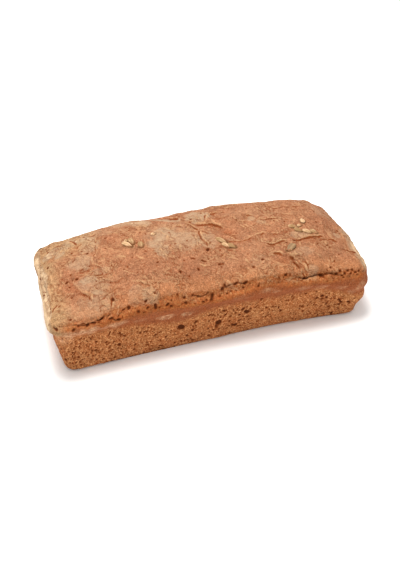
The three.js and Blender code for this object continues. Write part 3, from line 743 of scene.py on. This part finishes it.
def fine_relief(p, along_rim, top_share, from_crease, shape):
    """Creases, torn strip, cracks and pits, in millimetres outward, and the masks that colour them.

    Lines and edges wander, because their distances are taken at places that two ripples shift.
    """
    x, y, z = p[:, 0], p[:, 1], p[:, 2]
    wander = p + 1.6 * np.stack([noise(p, 11, shift) for shift in (3.3, 8.1, 5.7)], -1)
    ripple_u = layered(p, (3.0, 0.8, 1.3), (8, 1.0, 3.7))
    ripple_v = layered(p, (3.0, 0.8, 4.1), (8, 1.0, 6.9))
    rippled_x, rippled_y = x + ripple_u, y + ripple_v
    front = (y < FRONT_SIDE) * 1.0
    out = -DRAWN_IN_SIDE - (DRAWN_IN_TOP - DRAWN_IN_SIDE) * top_share

    # The torn strip: bare crumb between the floury skin's ragged edge and the lip, closed at one corner
    skin = ease((from_crease - STRIP_UP - layered(p, (9, 1.3, 2.2), (3.6, 0.9, 1.1))) / 0.9)
    strip_down = STRIP_DOWN + STRIP_LOWER * bell(x, STRIP_LOWER_AT, STRIP_LOWER_REACH)
    below = ease((-from_crease - strip_down - 1.6 * noise(p, 7, 9.9)) / 4.0)
    closed = 1 - ease((-x - 128) / 10) * ease((y - 38) / 8)
    torn = (1 - skin) * (1 - below) * closed
    out += -0.5 * torn + torn * layered(p, (5.2, 0.70, 0.7), (2.7, 0.55, 2.9))

    # Cracks: one that opens and closes along the crease, and those listed for the front
    broken = 0.6 * ease(0.25 + 0.9 * noise(p, 17, 6.6)) * (1 - 0.8 * front) * closed
    crack = bell(from_crease, 1.2 + 1.4 * noise(p, 8, 4.4), 1.0) * broken
    out -= CRACK_DEPTH * crack
    gapped = front * ease(0.85 + 0.8 * noise(p, 5, 5.3))
    for path, half_width, depth in FRONT_CRACKS:
        d, along = path_distance(rippled_x, from_crease + ripple_v, path)
        gap = ends_fade(along) * gapped * bell(d, 0, half_width)
        out -= depth * gap
        crack = np.maximum(crack, gap)

    # Skin of the top: creases, wrinkles, hollows, the dips round the kernels, seams and grain, and the masks
    # of painted shade and painted highlight that go with them
    uneven = np.clip(0.95 + layered(p, (5, 0.7, 2.7), (2.2, 0.3, 6.3)), 0.2, 1.5)
    creased, dark, pale = creased_skin(rippled_x, rippled_y, uneven)
    dip, bare = bare_hollows(rippled_x, rippled_y)
    # The dip round each kernel, which also carries its painted shadow
    socket_dip_and_shadow = seed_sockets(x, y) * top_share
    contour = noise(wander, 16, 5.1) + 0.4 * noise(p, 7, 2.3)
    seam = bell(contour, 0, 0.045) * ease(0.2 + 1.6 * noise(p, 14, 1.9)) * top_share * skin
    # Painted shade in the creases' cuts, below the wrinkles and along the seams
    dark = np.maximum(np.clip(dark, 0, 1.2) * top_share, 0.6 * seam)
    ridged = np.maximum(1 - 2.2 * np.abs(noise(wander, 9, 7.7)), 0)
    out += top_share * (creased - dip) - SOCKET_DEPTH * socket_dip_and_shadow - SEAM_DEPTH * seam
    out += top_share * (0.30 * ridged + 0.40 * noise(wander, 12, 2.9))
    out += top_share * layered(p, (5.5, 0.30, 3.1), (2.6, 0.18, 5.5))
    out += (1 - top_share) * layered(p, (7, 0.20, 3.1), (2.8, 0.16, 5.5))

    # Pits: many on the flank, a few on the top, bubbles in the torn strip
    foot = crease_height(x, y) - lip_height(x, y)
    smooth_to = foot - sum(lower * bell(x, middle, reach) for middle, reach, lower in SMOOTH_BANDS)
    on_flank = ease((smooth_to - z + 1) / 5) * (from_crease < 0)
    crowd = ease(1.05 + 0.9 * noise(p, 16, 8.8))
    u, v = along_rim + ripple_u, z + ripple_v
    pit = np.full(len(p), PIT_RANGE)
    for edge, mask in (
        (pits(u, v, *SMALL_PITS, AROUND), on_flank * crowd),
        (pits(u, v, *LARGE_PITS, AROUND), on_flank),
        (pits(rippled_x, rippled_y, *TOP_PITS), top_share * skin),
        (pits(u, from_crease + ripple_v, *STRIP_BUBBLES, AROUND), torn),
        (listed_holes(x + 0.4 * ripple_u, y + 0.4 * ripple_v, TOP_HOLES), top_share),
        (listed_holes(x + 0.7 * ripple_u, from_crease + 0.7 * ripple_v, FRONT_HOLES), front),
    ):
        pit = np.minimum(pit, edge + PIT_FADE * (1 - mask))
    out -= shape.pit_depth / MM * ease(0.5 - pit / PIT_SLOPE)

    wavy = layered(p, (12, 5.0, 2.9), (5, 2.5, 6.1))
    # Of these masks, pit, crack, crease and the kernel rings carry painted shade, wrinkle carries painted
    # highlight, and slope partly painted light
    masks = {
        "pit": np.clip(pit, -2, PIT_RANGE),
        "torn": torn,
        "crack": crack,
        "crease": dark,
        "socket_dip_and_shadow": socket_dip_and_shadow,
        "wrinkle": pale * top_share,
        "bare": bare * top_share,
        # Partly painted light: the front slope faces away from the key light, and its skin is also more
        # orange
        "slope": ease((22 - from_crease) / 16) * (y < 0) * top_share,
        "rim": np.maximum.reduce([
            ease((-x - 124 + wavy) / 22), 0.75 * ease((x - 140 + wavy) / 12),
            0.9 * ease((-x - 80) / 25) * ease((y - 5) / 20),
        ]) * ease((z - 38 + wavy) / 10),
        "smudge": lip_smudge(p),
        "flank": ease((smooth_to - z + 3 + 1.5 * noise(p, 9, 4.7)) / 7) * (from_crease < 0),
        "rise": np.clip((z - foot) / np.maximum(crease_height(x, y) - foot, 1), 0, 1),
        "top": top_share,
    }
    return out, masks


def crust_surface(shape):
    """Every vertex of the crust, its faces and its masks."""
    parts, quads, joins = box_skin()
    top, wall, base = (
        lean_out(dome_points(*parts["top"])),
        lean_out(wall_points(*parts["wall"])),
        lean_out(wall_points(*parts["base"], np.zeros(1), np.zeros(1))),
    )
    p = np.concatenate([top, wall, base])
    base_count = len(base)
    p[-base_count:, 2] = 0
    a, b = [np.concatenate([part[n] for part in parts.values()]) for n in (0, 1)]
    is_top = np.arange(len(p)) < len(top)
    rim_distance = np.minimum((1 - np.abs(a)) * HALF_LENGTH, (1 - np.abs(b)) * HALF_WIDTH)
    from_crease = np.where(is_top, rim_distance, p[:, 2] - crease_height(a * HALF_LENGTH, b * HALF_WIDTH))
    top_share = np.where(is_top, 1.0, ease(1 + from_crease / CREASE_BLEND))
    normal = outward(p, quads)
    fine, masks = fine_relief(p, perimeter(a, b), top_share, from_crease, shape)
    out = broad_relief(p, top_share, from_crease) + fine
    out[-base_count:] = 0
    p = p + out[:, None] * normal
    p[p[:, 2] < ON_BASE, 2] = 0
    return (p - (MIDDLE_X, MIDDLE_Y, 0)) * MM, quads, joins, masks


def make_object(name, vertices, quads, extra_faces=()):
    """A smooth mesh object at the origin from arrays of vertices in metres and faces."""
    mesh = bpy.data.meshes.new(name)
    mesh.from_pydata(vertices.tolist(), [], quads.tolist() + [list(map(int, f)) for f in extra_faces])
    mesh.shade_smooth()
    mesh.validate()
    obj = bpy.data.objects.new(name, mesh)
    bpy.context.scene.collection.objects.link(obj)
    return obj


def write_attribute(obj, name, values):
    """Keeps one number for each vertex with the mesh, for its material to read."""
    attribute = obj.data.attributes.new(name, "FLOAT", "POINT")
    attribute.data.foreach_set("value", np.ascontiguousarray(values, np.float32))


# ---------------------------------------------------------------- materials

def add_node(tree, kind, inputs=None, **settings):
    """Adds a node; an input that is a socket is linked and any other is set."""
    node = tree.nodes.new(kind)
    for key, value in settings.items():
        setattr(node, key, value)
    for key, value in (inputs or {}).items():
        if isinstance(value, bpy.types.NodeSocket):
            tree.links.new(value, node.inputs[key])
        else:
            node.inputs[key].default_value = value
    return node


def new_material(name):
    """An empty material and its node tree."""
    material = bpy.data.materials.new(name)
    material.use_nodes = True
    material.node_tree.nodes.clear()
    return material, material.node_tree


def finish_material(tree, bsdf):
    """Links a shader to the material's output."""
    add_node(tree, "ShaderNodeOutputMaterial", {"Surface": bsdf.outputs["BSDF"]})


def crust_material(finish):
    """Baked crust of wheat and rye dough: a starch skin dried and browned in the oven.

    It scatters light and hardly shines. Dusting flour leaves it greyish and mottled, the torn
    crumb is paler and more orange, and the crust against the tin is an even tan full of small
    open bubbles. Painted shade darkens the bubbles, pores, cracks, crease cuts, seams and the rings
    round the kernels, painted highlight pales the wrinkles, and painted light partly pales the front slope.
    """
    material, tree = new_material("baked_rye_wheat_crust")
    place = add_node(tree, "ShaderNodeTexCoord").outputs["Object"]

    def mask(name):
        """A mask kept with the mesh."""
        return add_node(tree, "ShaderNodeAttribute", attribute_name=name).outputs["Fac"]

    def grain(size_mm, detail, roughness=0.5, twist=0.0, where=place):
        """Cloudy noise with features of a real size, drawn out into strokes where it is twisted."""
        return add_node(tree, "ShaderNodeTexNoise", {
            "Vector": where, "Scale": 1 / (size_mm * MM), "Detail": detail, "Roughness": roughness,
            "Distortion": twist}).outputs["Fac"]

    def ramp(value, low, high, to_low=0.0, to_high=1.0):
        """The value moved from one range to another and kept in it."""
        return add_node(tree, "ShaderNodeMapRange", {
            "Value": value, "From Min": low, "From Max": high, "To Min": to_low, "To Max": to_high},
            clamp=True).outputs["Result"]

    def calculate(operation, first, second):
        """One operation on two numbers."""
        return add_node(tree, "ShaderNodeMath", {0: first, 1: second}, operation=operation).outputs[0]

    times, plus, minus = [functools.partial(calculate, kind) for kind in ("MULTIPLY", "ADD", "SUBTRACT")]

    def blend(amount, under, over):
        """One colour laid over another by an amount."""
        return add_node(tree, "ShaderNodeMix", {0: amount, 6: under, 7: over}, data_type="RGBA").outputs[2]

    def mottled(colour, pattern, dark, bright):
        """The colour scaled up and down by a pattern."""
        return add_node(tree, "ShaderNodeVectorMath", {
            0: colour, "Scale": ramp(pattern, 0.3, 0.7, dark, bright)}, operation="SCALE").outputs[0]

    def edged(name, low, high, by):
        """A ramp of a mask, whose edge a fine grit makes ragged."""
        return ramp(plus(mask(name), times(grit, by)), low + by / 2, high + by / 2)

    def wrinkles(heading, size_mm):
        """Thin lines along a heading in plan, and the groove beside each: two levels of a stretched noise,
        painted with highlight on the lines and shade in the grooves.
        """
        turned_place = add_node(tree, "ShaderNodeMapping", {
            "Vector": place, "Rotation": (0, 0, math.radians(heading)), "Scale": (WRINKLE_STRETCH, 1, 1),
        }, vector_type="TEXTURE").outputs["Vector"]
        level = grain(size_mm, 1.5, 0.5, 0.8, turned_place)
        patch = times(ramp(grain(16 + size_mm, 1, 0.6), 0.45, 0.62), top)
        return [
            times(ramp(calculate("ABSOLUTE", minus(level, at), 0), 0.035, 0.005), patch)
            for at in (0.52, 0.455)
        ]

    cloud = grain(8, 3, 0.6)
    speck = grain(1.9, 2, 0.7, 1.2)
    grit = grain(1.4, 2, 0.6)
    top = mask("top")

    # Browned crust of the flank, the lip and the top
    browned = ramp(cloud, 0.35, 0.65)
    side = blend(browned, finish.flank, finish.flank_deep)
    lip = blend(browned, finish.lip, finish.lip_deep)
    lip = blend(ramp(mask("rise"), 0.45, 0.95, 0.0, 0.8), lip, finish.crumb)
    skin = blend(ramp(grain(38, 3, 0.5), 0.35, 0.65), finish.skin, finish.skin_deep)
    # Front slope: its own more orange, less floury tone, with painted light where it faces away from the key
    # light
    skin = blend(times(mask("slope"), 0.8), skin, finish.slope)
    colour = blend(top, blend(mask("flank"), lip, side), skin)

    # Flecks and smudges of the sides, the torn crumb, and the skin's golden ends, flecks and bare hollows
    off_top = minus(1.0, top)
    side_flecks = times(ramp(speck, 0.50, 0.64), ramp(mask("flank"), 0.0, 1.0, 0.06, 0.55))
    colour = blend(times(side_flecks, off_top), colour, finish.fleck)
    patchy = ramp(grain(4, 4, 0.7), 0.40, 0.62, 0.25, 1.0)
    colour = blend(times(edged("smudge", 0.0, 1.0, 0.7), patchy), colour, finish.smudge)
    crumb = blend(times(ramp(grain(2.4, 2, 0.6), 0.48, 0.62), 0.45), finish.crumb, finish.crumb_pale)
    colour = blend(times(mask("torn"), 0.85), colour, crumb)
    colour = blend(times(edged("rim", 0.1, 0.9, 0.6), 0.8), colour, finish.rim)
    colour = blend(times(times(ramp(speck, 0.52, 0.68), top), 0.25), colour, finish.flour)
    colour = blend(times(mask("bare"), 0.7), colour, finish.bare)

    # Mottling, calmer on the lip, and the flour over it
    on_lip = times(off_top, minus(1.0, mask("flank")))
    colour = mottled(colour, cloud, 0.84, 1.16)
    colour = blend(on_lip, mottled(colour, speck, 0.68, 1.32), mottled(colour, speck, 0.86, 1.14))
    colour = mottled(colour, grain(1.1, 1, 0.5), 0.74, 1.26)
    floury = blend(ramp(mask("flour"), 0.8, 1.0), finish.flour, finish.flour_thick)
    dusty = times(edged("flour", 0.10, 0.70, 0.4), ramp(grain(4, 4, 0.7), 0.30, 0.62, 0.6, 1.0))
    colour = blend(times(dusty, 0.9), colour, mottled(floury, speck, 0.80, 1.20))

    # Fine wrinkles with painted highlight on their lines and painted shade in their grooves, then the painted
    # highlight of the listed wrinkles and the painted shade of the creases, kernel sockets and cracks
    height = plus(times(speck, 0.5), times(grain(0.9, 1, 0.5), 0.25))
    for heading, size_mm in WRINKLE_HEADINGS:
        raised, sunk = wrinkles(heading, size_mm)
        colour = blend(times(raised, 0.45), colour, finish.ridge_highlight)
        colour = blend(times(sunk, 0.50), colour, finish.hollow_shade)
        height = plus(height, times(minus(raised, sunk), 0.6))
    for name, low, high, ragged, amount, over in (
        ("wrinkle", 0.15, 0.7, 1.2, 0.8, finish.ridge_highlight),
        ("crease", 0.15, 0.75, 1.0, 0.9, finish.hollow_shade),
        ("socket_dip_and_shadow", 0.15, 0.8, 0.9, 0.8, finish.socket_dip_and_shadow),
        ("crack", 0.2, 0.8, 0.7, 0.8, finish.pit),
    ):
        colour = blend(times(edged(name, low, high, ragged), amount), colour, over)

    # Pores of the flank, too small for the mesh, then the pits, both darkened with painted shade
    sides = ramp(mask("flank"), 0.5, 1.0, 0.1, 0.9)
    for spacing, widest in PORES:
        cell = add_node(tree, "ShaderNodeTexVoronoi", {"Vector": place, "Scale": 1 / (spacing * MM)})
        reach = plus(plus(cell.outputs["Distance"], times(cell.outputs["Color"], 0.16)), times(grit, 0.12))
        opening = times(ramp(reach, widest + 0.06, widest), sides)
        colour = blend(opening, colour, finish.hollow_shade)
        colour = blend(times(ramp(reach, widest + 0.01, widest - 0.05), sides), colour, finish.pit)
        height = minus(height, opening)
    colour = blend(times(edged("pit", 0.6, 0.1, 0.7), 0.85), colour, finish.hollow_shade)
    colour = blend(edged("pit", 0.1, -0.45, 0.5), colour, finish.pit)

    bump = add_node(tree, "ShaderNodeBump", {"Height": height, "Strength": 0.7, "Distance": 0.6 * MM})
    bsdf = add_node(tree, "ShaderNodeBsdfPrincipled", {
        "Base Color": colour, "Roughness": 0.82, "Normal": bump.outputs["Normal"],
        "Specular IOR Level": 0.08})
    finish_material(tree, bsdf)
    return material


def kernel_material(name, pale, dark):
    """Toasted seed kernel: a dry, faintly oily skin, tan where it is pale and brown where it caught heat,
    with painted shade darkening its edges and groove.
    """
    material, tree = new_material(name)
    place = add_node(tree, "ShaderNodeTexCoord").outputs["Object"]
    cloud = add_node(tree, "ShaderNodeTexNoise", {"Vector": place, "Scale": 1 / (3 * MM), "Detail": 3.0})
    toast_and_shade = add_node(tree, "ShaderNodeAttribute", attribute_name="toast_and_shade")
    both = add_node(tree, "ShaderNodeMath", {
        0: cloud.outputs["Fac"], 1: toast_and_shade.outputs["Fac"]}, operation="ADD")
    ramp = add_node(tree, "ShaderNodeMapRange", {
        "Value": both.outputs[0], "From Min": 0.6, "From Max": 1.3}, clamp=True)
    colour = add_node(tree, "ShaderNodeMix", {0: ramp.outputs["Result"], 6: pale, 7: dark}, data_type="RGBA")
    grooves = add_node(tree, "ShaderNodeTexNoise", {"Vector": place, "Scale": 1 / (0.8 * MM), "Detail": 2.0})
    bump = add_node(tree, "ShaderNodeBump", {
        "Height": grooves.outputs["Fac"], "Strength": 0.4, "Distance": 0.3 * MM})
    bsdf = add_node(tree, "ShaderNodeBsdfPrincipled", {
        "Base Color": colour.outputs[2], "Roughness": 0.6, "Normal": bump.outputs["Normal"],
        "Specular IOR Level": 0.2})
    finish_material(tree, bsdf)
    return material


def plain_material(name, colour, roughness):
    """An even matte surface for the stage."""
    material, tree = new_material(name)
    bsdf = add_node(tree, "ShaderNodeBsdfPrincipled", {"Base Color": colour, "Roughness": roughness})
    finish_material(tree, bsdf)
    return material


# ---------------------------------------------------------------- flour

def flour_mask(p, top_share):
    """How thick the flour lies in soft ellipses in plan, and how strongly the same pale colours are laid
    along three of the rims, their edges broken by noise.
    """
    x, y, z = p[:, 0], p[:, 1], p[:, 2]
    ragged = layered(p, (12, 0.25, 2.5), (5, 0.20, 7.5), (2.5, 0.12, 4.5))
    bare = np.ones(len(p))
    for middle_x, middle_y, half_x, half_y, turn, strength in FLOUR_PATCHES:
        along, across = turned(x, y, middle_x, middle_y, turn)
        inside = 1 - np.hypot(along / half_x, across / half_y) - ragged
        soft = 0.2 + 0.025 * half_x
        bare *= 1 - strength * top_share * ease(inside / soft + 0.5)
    # Pale bands in the flour's colours along the left, right and back rims
    left_rim = ease((-x - 147 + 4 * ease(y / 40)) / 4) * ease((z - 44) / 8)
    right_rim = ease((x - 136) / 9) * ease((z - 48) / 6) * ease((5 - y) / 30)
    back_rim = ease((y - 48) / 6) * ease((z - 50) / 8)
    bare *= 1 - left_rim * ease(1.0 - 1.6 * ragged)
    bare *= 1 - 0.95 * right_rim * ease(0.9 - 2 * ragged)
    bare *= 1 - 0.55 * back_rim * ease(0.9 - 2 * ragged)
    return 1 - bare


# ---------------------------------------------------------------- seeds

def kernel_points(length, width, thick):
    """A teardrop closed by its two poles, its section a flattened circle.

    Its half widths follow sin(pi t^0.75)^(0.65 + 0.6 t) along it.
    """
    t = np.linspace(0, 1, KERNEL_ALONG + 1)[1:-1]
    turn = np.linspace(0, 2 * np.pi, KERNEL_AROUND, endpoint=False)
    half = width / 2 * np.sin(np.pi * t ** 0.75) ** (0.65 + 0.6 * t)
    rows = np.stack([
        half[:, None] * np.cos(turn),
        np.repeat(((t - 0.5) * length)[:, None], KERNEL_AROUND, 1),
        half[:, None] * np.sin(turn) * thick / width,
    ], -1).reshape(-1, 3)
    return np.concatenate([rows, [[0, -length / 2, 0], [0, length / 2, 0]]])


def kernel_faces():
    """Quads between the rows and triangles at the poles, facing out."""
    rows, around = KERNEL_ALONG - 1, KERNEL_AROUND
    i, j = np.meshgrid(np.arange(rows - 1), np.arange(around), indexing="ij")
    first, second = i * around + j, i * around + (j + 1) % around
    quads = np.stack([first, first + around, second + around, second], -1).reshape(-1, 4)
    j = np.arange(around)
    low = np.stack([j, (j + 1) % around, np.full(around, rows * around)], -1)
    last = (rows - 1) * around
    high = np.stack([last + (j + 1) % around, last + j, np.full(around, rows * around + 1)], -1)
    return quads, np.concatenate([low, high])


def kernels_on_crust(name, kernels, thick_share, shades):
    """All kernels of one kind, each laid flat on the crust under it and sunk by its share."""
    crust = bpy.data.objects["crust"].data
    count = len(crust.vertices)
    place = np.empty(count * 3)
    crust.vertices.foreach_get("co", place)
    facing = np.empty(count * 3)
    crust.vertices.foreach_get("normal", facing)
    place, facing = place.reshape(-1, 3) / MM, facing.reshape(-1, 3)
    quads, ends = kernel_faces()
    all_points, all_quads, all_ends, shade = [], [], [], []
    for n, (x, y, turn, length, width, proud) in enumerate(kernels):
        centre = np.array((x - MIDDLE_X, y - MIDDLE_Y))
        away = np.linalg.norm(place[:, :2] - centre, axis=-1)
        near = bell(away, 0, KERNEL_BEARING) * (facing[:, 2] > FACES_UP)
        near /= near.sum()
        up = near @ facing
        up /= np.linalg.norm(up)
        thick = width * thick_share
        middle = near @ place + up * (proud - 0.5) * thick
        middle[:2] = centre
        heading = np.array((math.cos(math.radians(turn)), math.sin(math.radians(turn)), 0))
        across = np.cross(heading, up)
        across /= np.linalg.norm(across)
        heading = np.cross(up, across)
        p = kernel_points(length, width, thick)
        p[:, 2] += layered(p, (3.0, 0.12, 0.1 * n))
        groove = bell(p[:, 0], 0.1 * width, KERNEL_GROOVE_WIDTH)
        p[:, 2] -= KERNEL_GROOVE_DEPTH * groove * (p[:, 2] > 0)
        # Painted shade: darker towards each kernel's edges and in its groove, added to its toast
        beside = np.clip(np.abs(p[:, 0]) / (width / 2), 0, 1) ** 3
        shade.append(shades[n % len(shades)] + 0.6 * beside + 0.4 * groove)
        all_points.append(middle + p @ np.stack([across, heading, up]))
        all_quads.append(quads + n * len(p))
        all_ends.append(ends + n * len(p))
    points, quads, ends = [np.concatenate(part) for part in (all_points, all_quads, all_ends)]
    obj = make_object(name, points * MM, quads, ends)
    write_attribute(obj, "toast_and_shade", np.concatenate(shade))
    return obj


# ---------------------------------------------------------------- settings

def colour_property(name, description, hex_colour):
    """A colour setting with its default."""
    return FloatVectorProperty(name=name, description=description, subtype="COLOR", size=4,
                               min=0, max=1, default=linear(hex_colour))


class LoafShape(PropertyGroup):
    """Sizes of the crust's relief."""
    pit_depth: FloatProperty(
        name="Pit depth", description="How deep the open bubbles of the crust go",
        default=0.9 * MM, min=0, unit="LENGTH", precision=5)


class CrustFinish(PropertyGroup):
    """Colours of the crust."""
    skin: colour_property("Top skin", "Browned skin of the top", "#966445")
    skin_deep: colour_property("Top skin, deeper", "The same skin where it browned more", "#8d593c")
    # Partly the skin's own more orange tone, partly painted light on a slope that faces away from the key
    # light
    slope: colour_property("Front slope", "Skin over the front slope, which less flour reached", "#a26842")
    # A paler golden colour laid over the ends' rims and the back left corner
    rim: colour_property("Rims", "Skin that dried golden at the ends and the back left corner", "#9f7e59")
    smudge: colour_property("Lip smudge", "Dried dough on the lip", "#c99c76")
    fleck: colour_property("Flank fleck", "Walls that stand between the flank's open bubbles", "#cc9a68")
    # Painted highlight on the tops of the wrinkles and the raised sides of the creases
    ridge_highlight: colour_property("Ridges", "Dusted tops of the skin's wrinkles", "#ba8e66")
    flour: colour_property("Flour", "Dusting flour baked onto the skin", "#9f8367")
    flour_thick: colour_property("Thick flour", "The same where it lies thickest", "#d3b692")
    bare: colour_property("Bare skin", "Skin in the hollows that no flour reached", "#8d4f2e")
    crumb: colour_property("Torn crumb", "Crumb laid bare along the crease", "#955026")
    crumb_pale: colour_property("Torn crumb, paler", "The same crumb where it browned less", "#b27a46")
    lip: colour_property("Lip", "Crust of the bead that hung over the tin", "#92502f")
    lip_deep: colour_property("Lip, deeper", "The same crust where it browned more", "#844524")
    flank: colour_property("Flank", "Crust that baked against the tin", "#aa693c")
    flank_deep: colour_property("Flank, deeper", "The same crust where it browned more", "#97542b")
    # Painted shade in the hollows: the crease cuts, the wrinkle grooves, the pores and the rims of the pits
    hollow_shade: colour_property("Hollow", "Shaded hollows of the crust", "#74350f")
    # Painted shadow round each kernel, strongest on its front side, laid in the crust's dip there
    socket_dip_and_shadow: colour_property("Socket", "Oily shade of the crust round a kernel", "#573718")
    # Painted shade inside the pits, the pores and the cracks
    pit: colour_property("Pit", "Inside of an open bubble", "#4c2209")


class SeedFinish(PropertyGroup):
    """Colours of the kernels."""
    sunflower_pale: colour_property("Sunflower, pale", "Pale face of a sunflower kernel", "#d3ab82")
    # The toasted colour also serves as painted shade along each kernel's edges and in its groove
    sunflower_dark: colour_property("Sunflower, toasted", "Toasted edge of a sunflower kernel", "#8f6c44")
    pumpkin_pale: colour_property("Pumpkin, pale", "Skin of the pumpkin kernel", "#ab8962")
    # The toasted colour also serves as painted shade along the kernel's edges and in its groove
    pumpkin_dark: colour_property("Pumpkin, toasted", "Its toasted parts", "#7e6143")


class StageSettings(PropertyGroup):
    """Camera, floor and light."""
    azimuth: FloatProperty(
        name="Camera azimuth", description="Angle round the loaf from its front, towards its right end",
        default=math.radians(-16.2), subtype="ANGLE", unit="ROTATION")
    elevation: FloatProperty(
        name="Camera elevation", description="Angle above the horizon",
        default=math.radians(38.5), subtype="ANGLE", unit="ROTATION")
    distance: FloatProperty(
        name="Camera distance", description="From the point it looks at",
        default=0.78, min=0.1, unit="LENGTH")
    lens: FloatProperty(name="Lens", description="Focal length in millimetres", default=50.53, min=10)
    floor: colour_property("Floor", "Plain pale floor", "#fbfaf8")
    world: FloatProperty(
        name="Surroundings", description="Strength of the white surroundings", default=0.8, min=0)
    key: FloatProperty(
        name="Key light", description="Power of the large soft light, in watts", default=14.3, min=0)


# ---------------------------------------------------------------- stage

# In metres, but for the camera's aim, in the loaf's own plan and millimetres, and its sensor
FLOOR_REACH = 6.0
KEY_SIZE = 0.5
KEY_PLACE, KEY_AIM = (-0.12, 0.12, 1.10), (0, 0, 0.03)
CAMERA_AIM = (1.0, 0.0, 19.3)
SENSOR_WIDTH = 36
NEAREST_SEEN, FARTHEST_SEEN = 0.01, 50


def stand(scene, name, data, place, target):
    """Puts a camera or light at a place, turned by the tilt and heading of the line to its target."""
    obj = bpy.data.objects.new(name, data)
    scene.collection.objects.link(obj)
    x, y, z = np.array(target, float) - np.array(place, float)
    obj.location = place
    obj.rotation_euler = (math.atan2(math.hypot(x, y), -z), 0.0, math.atan2(-x, y))
    return obj


# ---------------------------------------------------------------- operators

class LOAF_OT_crust(Operator):
    """Makes the crust, with its dome, lip, flanks, folds and pits"""
    bl_idname = "loaf.crust"
    bl_label = "Crust"

    def execute(self, context):
        vertices, quads, joins, masks = crust_surface(context.scene.loaf_shape)
        crust = make_object("crust", vertices, quads, joins)
        for name, values in masks.items():
            write_attribute(crust, name, values)
        write_attribute(crust, "flour", flour_mask(vertices / MM + (MIDDLE_X, MIDDLE_Y, 0), masks["top"]))
        crust.data.materials.append(crust_material(context.scene.crust_finish))
        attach(crust, "root")
        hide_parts("loaf")
        return {"FINISHED"}


class LOAF_OT_seeds(Operator):
    """Lays the sunflower and pumpkin kernels into the crust"""
    bl_idname = "loaf.seeds"
    bl_label = "Seeds"

    def execute(self, context):
        finish = context.scene.seed_finish
        sunflower = kernels_on_crust("sunflower_seeds", SUNFLOWER_KERNELS, SUNFLOWER_THICK, SUNFLOWER_TOAST)
        sunflower.data.materials.append(kernel_material(
            "toasted_sunflower_kernel", finish.sunflower_pale, finish.sunflower_dark))
        pumpkin = kernels_on_crust("pumpkin_seeds", PUMPKIN_KERNELS, PUMPKIN_THICK, PUMPKIN_TOAST)
        pumpkin.data.materials.append(kernel_material(
            "toasted_pumpkin_kernel", finish.pumpkin_pale, finish.pumpkin_dark))
        for seeds in (sunflower, pumpkin):
            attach(seeds, "root")
            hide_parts("loaf")
        return {"FINISHED"}


class LOAF_OT_stage(Operator):
    """Sets the plain floor, the soft light and the camera"""
    bl_idname = "loaf.stage"
    bl_label = "Stage"

    def execute(self, context):
        settings = context.scene.loaf_stage
        scene = context.scene
        corners = np.array([(-1, -1, 0), (1, -1, 0), (1, 1, 0), (-1, 1, 0)]) * FLOOR_REACH
        floor = make_object("floor", corners, np.array([[0, 1, 2, 3]]))
        floor.data.materials.append(plain_material("matte_white_board", settings.floor, 0.9))

        world = bpy.data.worlds.new("white_surroundings")
        world.use_nodes = True
        background = world.node_tree.nodes["Background"]
        background.inputs["Color"].default_value = (1, 1, 1, 1)
        background.inputs["Strength"].default_value = settings.world
        scene.world = world

        key = bpy.data.lights.new("key", "AREA")
        key.shape = "SQUARE"
        key.size = KEY_SIZE
        key.energy = settings.key
        stand(scene, "key", key, KEY_PLACE, KEY_AIM)

        camera = bpy.data.cameras.new("camera")
        camera.lens = settings.lens
        camera.sensor_width = SENSOR_WIDTH
        camera.clip_start, camera.clip_end = NEAREST_SEEN, FARTHEST_SEEN
        a, e = settings.azimuth, settings.elevation
        back = np.array((math.sin(a) * math.cos(e), -math.cos(a) * math.cos(e), math.sin(e)))
        aim = (np.array(CAMERA_AIM) - (MIDDLE_X, MIDDLE_Y, 0)) * MM
        scene.camera = stand(scene, "camera", camera, aim + settings.distance * back, aim)
        scene.view_settings.view_transform = "Standard"
        return {"FINISHED"}


class LOAF_PT_panel(Panel):
    """Lists the loaf's settings and the steps that make it"""
    bl_label = "Tin loaf"
    bl_idname = "LOAF_PT_panel"
    bl_space_type = "VIEW_3D"
    bl_region_type = "UI"
    bl_category = "Loaf"

    def draw(self, context):
        for group in GROUPS:
            box = self.layout.box()
            settings = getattr(context.scene, group)
            for name in settings.bl_rna.properties.keys():
                if name not in ("rna_type", "name"):
                    box.prop(settings, name)
        for operator in OPERATORS:
            self.layout.operator(operator.bl_idname)


GROUPS = {
    "loaf_shape": LoafShape,
    "crust_finish": CrustFinish,
    "seed_finish": SeedFinish,
    "loaf_stage": StageSettings,
}
OPERATORS = (LOAF_OT_crust, LOAF_OT_seeds, LOAF_OT_stage)


def register():
    """Registers the classes and keeps the settings with the scene."""
    for cls in (*GROUPS.values(), *OPERATORS, LOAF_PT_panel):
        bpy.utils.register_class(cls)
    for name, group in GROUPS.items():
        setattr(bpy.types.Scene, name, PointerProperty(type=group))


def unregister():
    """Takes the settings and the classes away again."""
    for name in GROUPS:
        delattr(bpy.types.Scene, name)
    for cls in reversed((*GROUPS.values(), *OPERATORS, LOAF_PT_panel)):
        bpy.utils.unregister_class(cls)


def main():
    """Makes the loaf and its stage."""
    register()
    bpy.ops.loaf.crust()
    bpy.ops.loaf.seeds()
    bpy.ops.loaf.stage()


if __name__ == "__main__":
    main()
